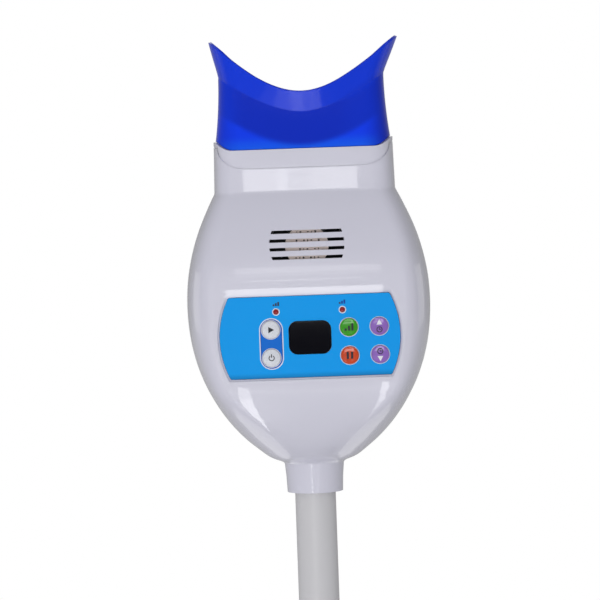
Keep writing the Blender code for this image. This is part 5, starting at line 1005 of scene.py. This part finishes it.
def make_lamps():
    arc = [(LAMP_RADIUS * cos(turn), 0.0006 * sin(turn)) for turn in spread(0.0, pi / 2, 8)]
    dome = [(0, -0.0099), (LAMP_RADIUS, -0.0099), *arc]
    for name, x in LAMPS.items():
        mesh = facing_front(turned(dome, 32), PANEL_Y, PANEL_H + LAMP_H, x)
        add(name + "_dome", mesh, LAMP_RED, "head", name)


# ---- fan and light engine


def fan_matrix():
    step = SLOT_TALL
    lean = atan((front_depth_at(VENT_H - step) - front_depth_at(VENT_H + step)) / (step + step))
    outward = Vector((0, -cos(lean), sin(lean)))
    place = Vector((0, -front_depth_at(VENT_H), NECK_Z + VENT_H)) - outward * (WALL + 0.0036)
    return facing(place, pi / 2 - lean, "X")


def make_fan():
    """Nine broad blades that overlap, and a round label whose marks spell nothing."""
    hub = rod(0.012, -0.0026, -0.0144, 64, 0.0008)
    count, steps, blades = 9, 10, []
    for blade in range(count):
        start = tau * blade / count
        edge = list(zip(spread(start, start + radians(54), steps), spread(-0.0044, -0.013, steps)))
        rows = [[(radius * cos(turn), radius * sin(turn), z) for turn, z in edge]
                for radius in spread(0.0116, 0.0224, 4)]
        blades.append(worked(grid(rows), [("SOLIDIFY", {"thickness": 0.0008, "offset": 0.0})]))
    place = fan_matrix()
    add("rotor", moved(joined(hub, *blades), place), BLACK, "fan_rotor", "fan_rotor")
    label = moved(rod(0.0129, 0, 0.00012, 64), place @ Matrix.Translation((0, 0, -0.0004)))
    add("fan_label", label, LABEL, "head")
    marks = []
    for row in range(4):
        y = (row - 1.5) * 0.0052 + 0.0009
        for step in range(-4, 5):
            if (row * 7 + step * 5) % 4 and abs(step) < 4 - abs(row - 1.5) / 2:
                x = step * 0.0022 + 0.0003 * row
                tall = 0.0007 + 0.0003 * ((row + step) % 3)
                marks.append(plate(bar(0.0006 + 0.0004 * ((row + step) % 2), tall, x, y), 0.0001))
    marks = moved(joined(*marks), place @ Matrix.Translation((0, 0, -0.0003)))
    add("fan_label_marks", marks, LABEL_INK, "head")


def make_light_engine():
    rest = COLLAR_H - 0.0174
    thick = 0.0016
    board = box_mesh((-0.042, -0.0135, NECK_Z + rest), (0.042, 0.0135, NECK_Z + rest + thick))
    add("emitter_board", bevelled(board, 0.0003), BOARD_WHITE, "head", "led_board")
    arc = [(0.0021 * cos(turn), 0.0012 + 0.0009 * sin(turn)) for turn in spread(0.0, pi / 2, 9)]
    dome = [(0, 0.0011), *arc]
    for column in range(4):
        for row in range(2):
            x, y = (column - 1.5) * 0.017, (row - 0.5) * 0.011
            base = Matrix.Translation((x, y, NECK_Z + rest + thick))
            block = bevelled(box_mesh((-0.0035, -0.0035, 0), (0.0035, 0.0035, 0.0012)), 0.0004)
            add(f"emitter_{column}_{row}", moved(block, base), EMITTER_BODY, "head")
            add(f"emitter_lens_{column}_{row}", moved(turned(dome, 28), base), EMITTER, "head")


# ---- pole and stand


POLE_RADIUS, POLE_BORE, POLE_FOOT, POLE_TOP = 0.0123, 0.0111, 0.0313, 0.236
SLIDE = POLE_RADIUS + GAP
OUT, LIP, DOME, COVER_WALL, COVER_HOLE = 0.075, 0.016, 0.022, 0.0025, 0.0173
CLAMP_Z, SHOE_HOLE, SOCKET, SOCKET_TOP = 0.084, 0.0053, 0.017, 0.095
CLAMP_AXIS = facing((0, 0, CLAMP_Z), pi / 2, "Y")


def make_neck_and_pole():
    pole = [(POLE_BORE, POLE_FOOT), (POLE_RADIUS, POLE_FOOT), (POLE_RADIUS, POLE_TOP), (POLE_BORE, POLE_TOP)]
    add("pole_tube", turned(soft_profile(pole, 0.0002), 96, True), POLE_PAINT, "pole", "pole")
    outer = NECK_BOTTOM - WALL - GAP
    flange, low, ledge, top = outer + 0.003, NECK_Z + 0.0006, NECK_Z + 0.0332, NECK_Z + 0.0352
    bush = [(SLIDE, low), (outer, low), (outer, ledge), (flange, ledge), (flange, top), (SLIDE, top)]
    add("neck_guide", turned(bush, 96, True), GUIDE, "head", "neck_bush")


def cover_arc(out, dome, steps):
    """The stand's domed section, from the hole in the middle to the edge."""
    turns = spread(asin(COVER_HOLE / out), pi / 2, steps)
    return [(out * sin(turn), LIP + dome * cos(turn)) for turn in turns]


def make_stand():
    add("pad", rod(0.072, 0.003, 0.0, 128, 0.0006), RUBBER, "base", "base_pad")
    profile = cover_arc(OUT, DOME, 28) + [(OUT, 0.0042), (OUT - 0.0006, 0.0034), (OUT - COVER_WALL, 0.0034)]
    profile += reversed(cover_arc(OUT - COVER_WALL, DOME - COVER_WALL, 20))
    cover = carve(turned(profile, 128, True), box_mesh((-0.0063, 0.0613, 0.0042), (0.0063, 0.08, 0.0148)))
    add("cover", bevelled(cover, 0.0003), STAND, "base", "base_cover", 28)
    shoulder, bore, floor, foot = 0.0205, 0.0143, 0.0246, 0.0156
    rest = LIP + DOME * cos(asin(COVER_HOLE / OUT)) + GAP
    socket = [(0, floor), (bore, floor), (bore, SOCKET_TOP), (SOCKET, SOCKET_TOP), (SOCKET, rest + 0.003),
              (shoulder, rest + 0.003), (shoulder, rest), (SOCKET, rest), (SOCKET, foot), (0, foot)]
    body = turned(soft_profile(socket, 0.0007), 96)
    boss = rod(0.008, 0.0157, 0.026, 48, 0.0006)
    stud, end = 0.0042, 0.01715
    shoe = turned([(0, 0), (SHOE_HOLE, 0), (SHOE_HOLE, end), (stud, end), (stud, 0.03), (0, 0.03)], 40)
    way = moved(rod(0.0023, 0, 0.03, 24), facing((0, 0, 0.0272), -pi / 2, "X"))
    body = carve(body, moved(boss, CLAMP_AXIS), operation="UNION")
    body = carve(body, moved(shoe, CLAMP_AXIS), way, rod(0.0042, 0.01, 0.0231, 32))
    add("socket", body, STAND, "base", "pole_socket")
    low, ledge, top = 0.0298, SOCKET_TOP + GAP, 0.0973
    liner = [(SLIDE, top), (0.0165, top), (0.0165, ledge), (0.014, ledge), (0.014, low), (SLIDE, low)]
    liner = carve(turned(liner, 96, True), moved(rod(SHOE_HOLE, 0, 0.02, 32), CLAMP_AXIS))
    add("liner", bevelled(liner, 0.0003), GUIDE, "base", "socket_liner")


def make_knob():
    """A six-lobed knob on its stud, +Z outwards, turned to face +X."""
    start, length, radius = 0.0285, 0.014, 0.015

    def lobe(angle):
        return radius - 0.0017 * (0.5 - 0.5 * cos(6 * angle)) ** 1.6
    rows = []
    for share, up in ((0.0, 0.0), (0.86, 0.0), (0.95, 0.0006), (1.0, 0.0018), (1.0, length - 0.0026),
                      (0.95, length - 0.001), (0.86, length - 0.0002), (0.62, length),
                      (0.58, length - 0.0006), (0.0, length - 0.0006)):
        rows.append([])
        for angle in spread(0.0, tau, 120)[:-1]:
            size = share * mix(radius, lobe(angle), smooth(share))
            rows[-1].append((size * cos(angle), size * sin(angle), start + up))
    knob = cleaned(grid(rows, loop_columns=True))
    add("knob", moved(knob, CLAMP_AXIS), KNOB, "clamp_knob", "clamp_knob")
    stud = rod(0.0039, 0.016, 0.0287, 40, 0.0005)
    add("knob_stud", moved(stud, CLAMP_AXIS), STEEL, "clamp_knob")


def dress_nodes():
    """Looks of the CAD solids that the scene keeps."""
    groups = ((IRON, "base_weight"), (BLACK, "dc_inlet fan_frame buzzer"),
              (GUIDE, "clamp_shoe display_module"), (STEEL, "base_bolt retaining_collar cross_pin"),
              (LEAD, "base_lead pole_lead head_lead"), (BOARD, "control_board driver_board"),
              (GLASS, "light_window"), (REFLECTOR, "reflector_tray"), (ALUMINIUM, "heat_sink"),
              (LEAD_RED, "led_lead"), (LEAD_YELLOW, "fan_lead"), (LEAD_GREY, "panel_lead"))
    looks = {name: material for material, names in groups for name in names.split()}
    for name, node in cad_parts.items():
        # The fan screws get black plastic, not steel: painted shade that keeps them dark inside the vent.
        material = looks.get(name, BLACK if "fan_screw" in name else STEEL if "screw" in name else None)
        if material:
            node.data.materials.clear()
            node.data.materials.append(material)


make_camera()
make_world()
make_floor()
make_studio_walls()
make_cards()
add_light("key_soft_box", (-0.5, -1.9, 0.0), (0, 0, 0.3), (1.3, 1.1), 18.8, glossy=False)
make_front_casing()
make_rear_casing()
make_port_band()
light_lip(make_shield())
make_keypad()
make_keys()
make_lamps()
make_fan()
make_light_engine()
make_neck_and_pole()
make_stand()
make_knob()
dress_nodes()
SCENE.view_settings.view_transform = "Standard"
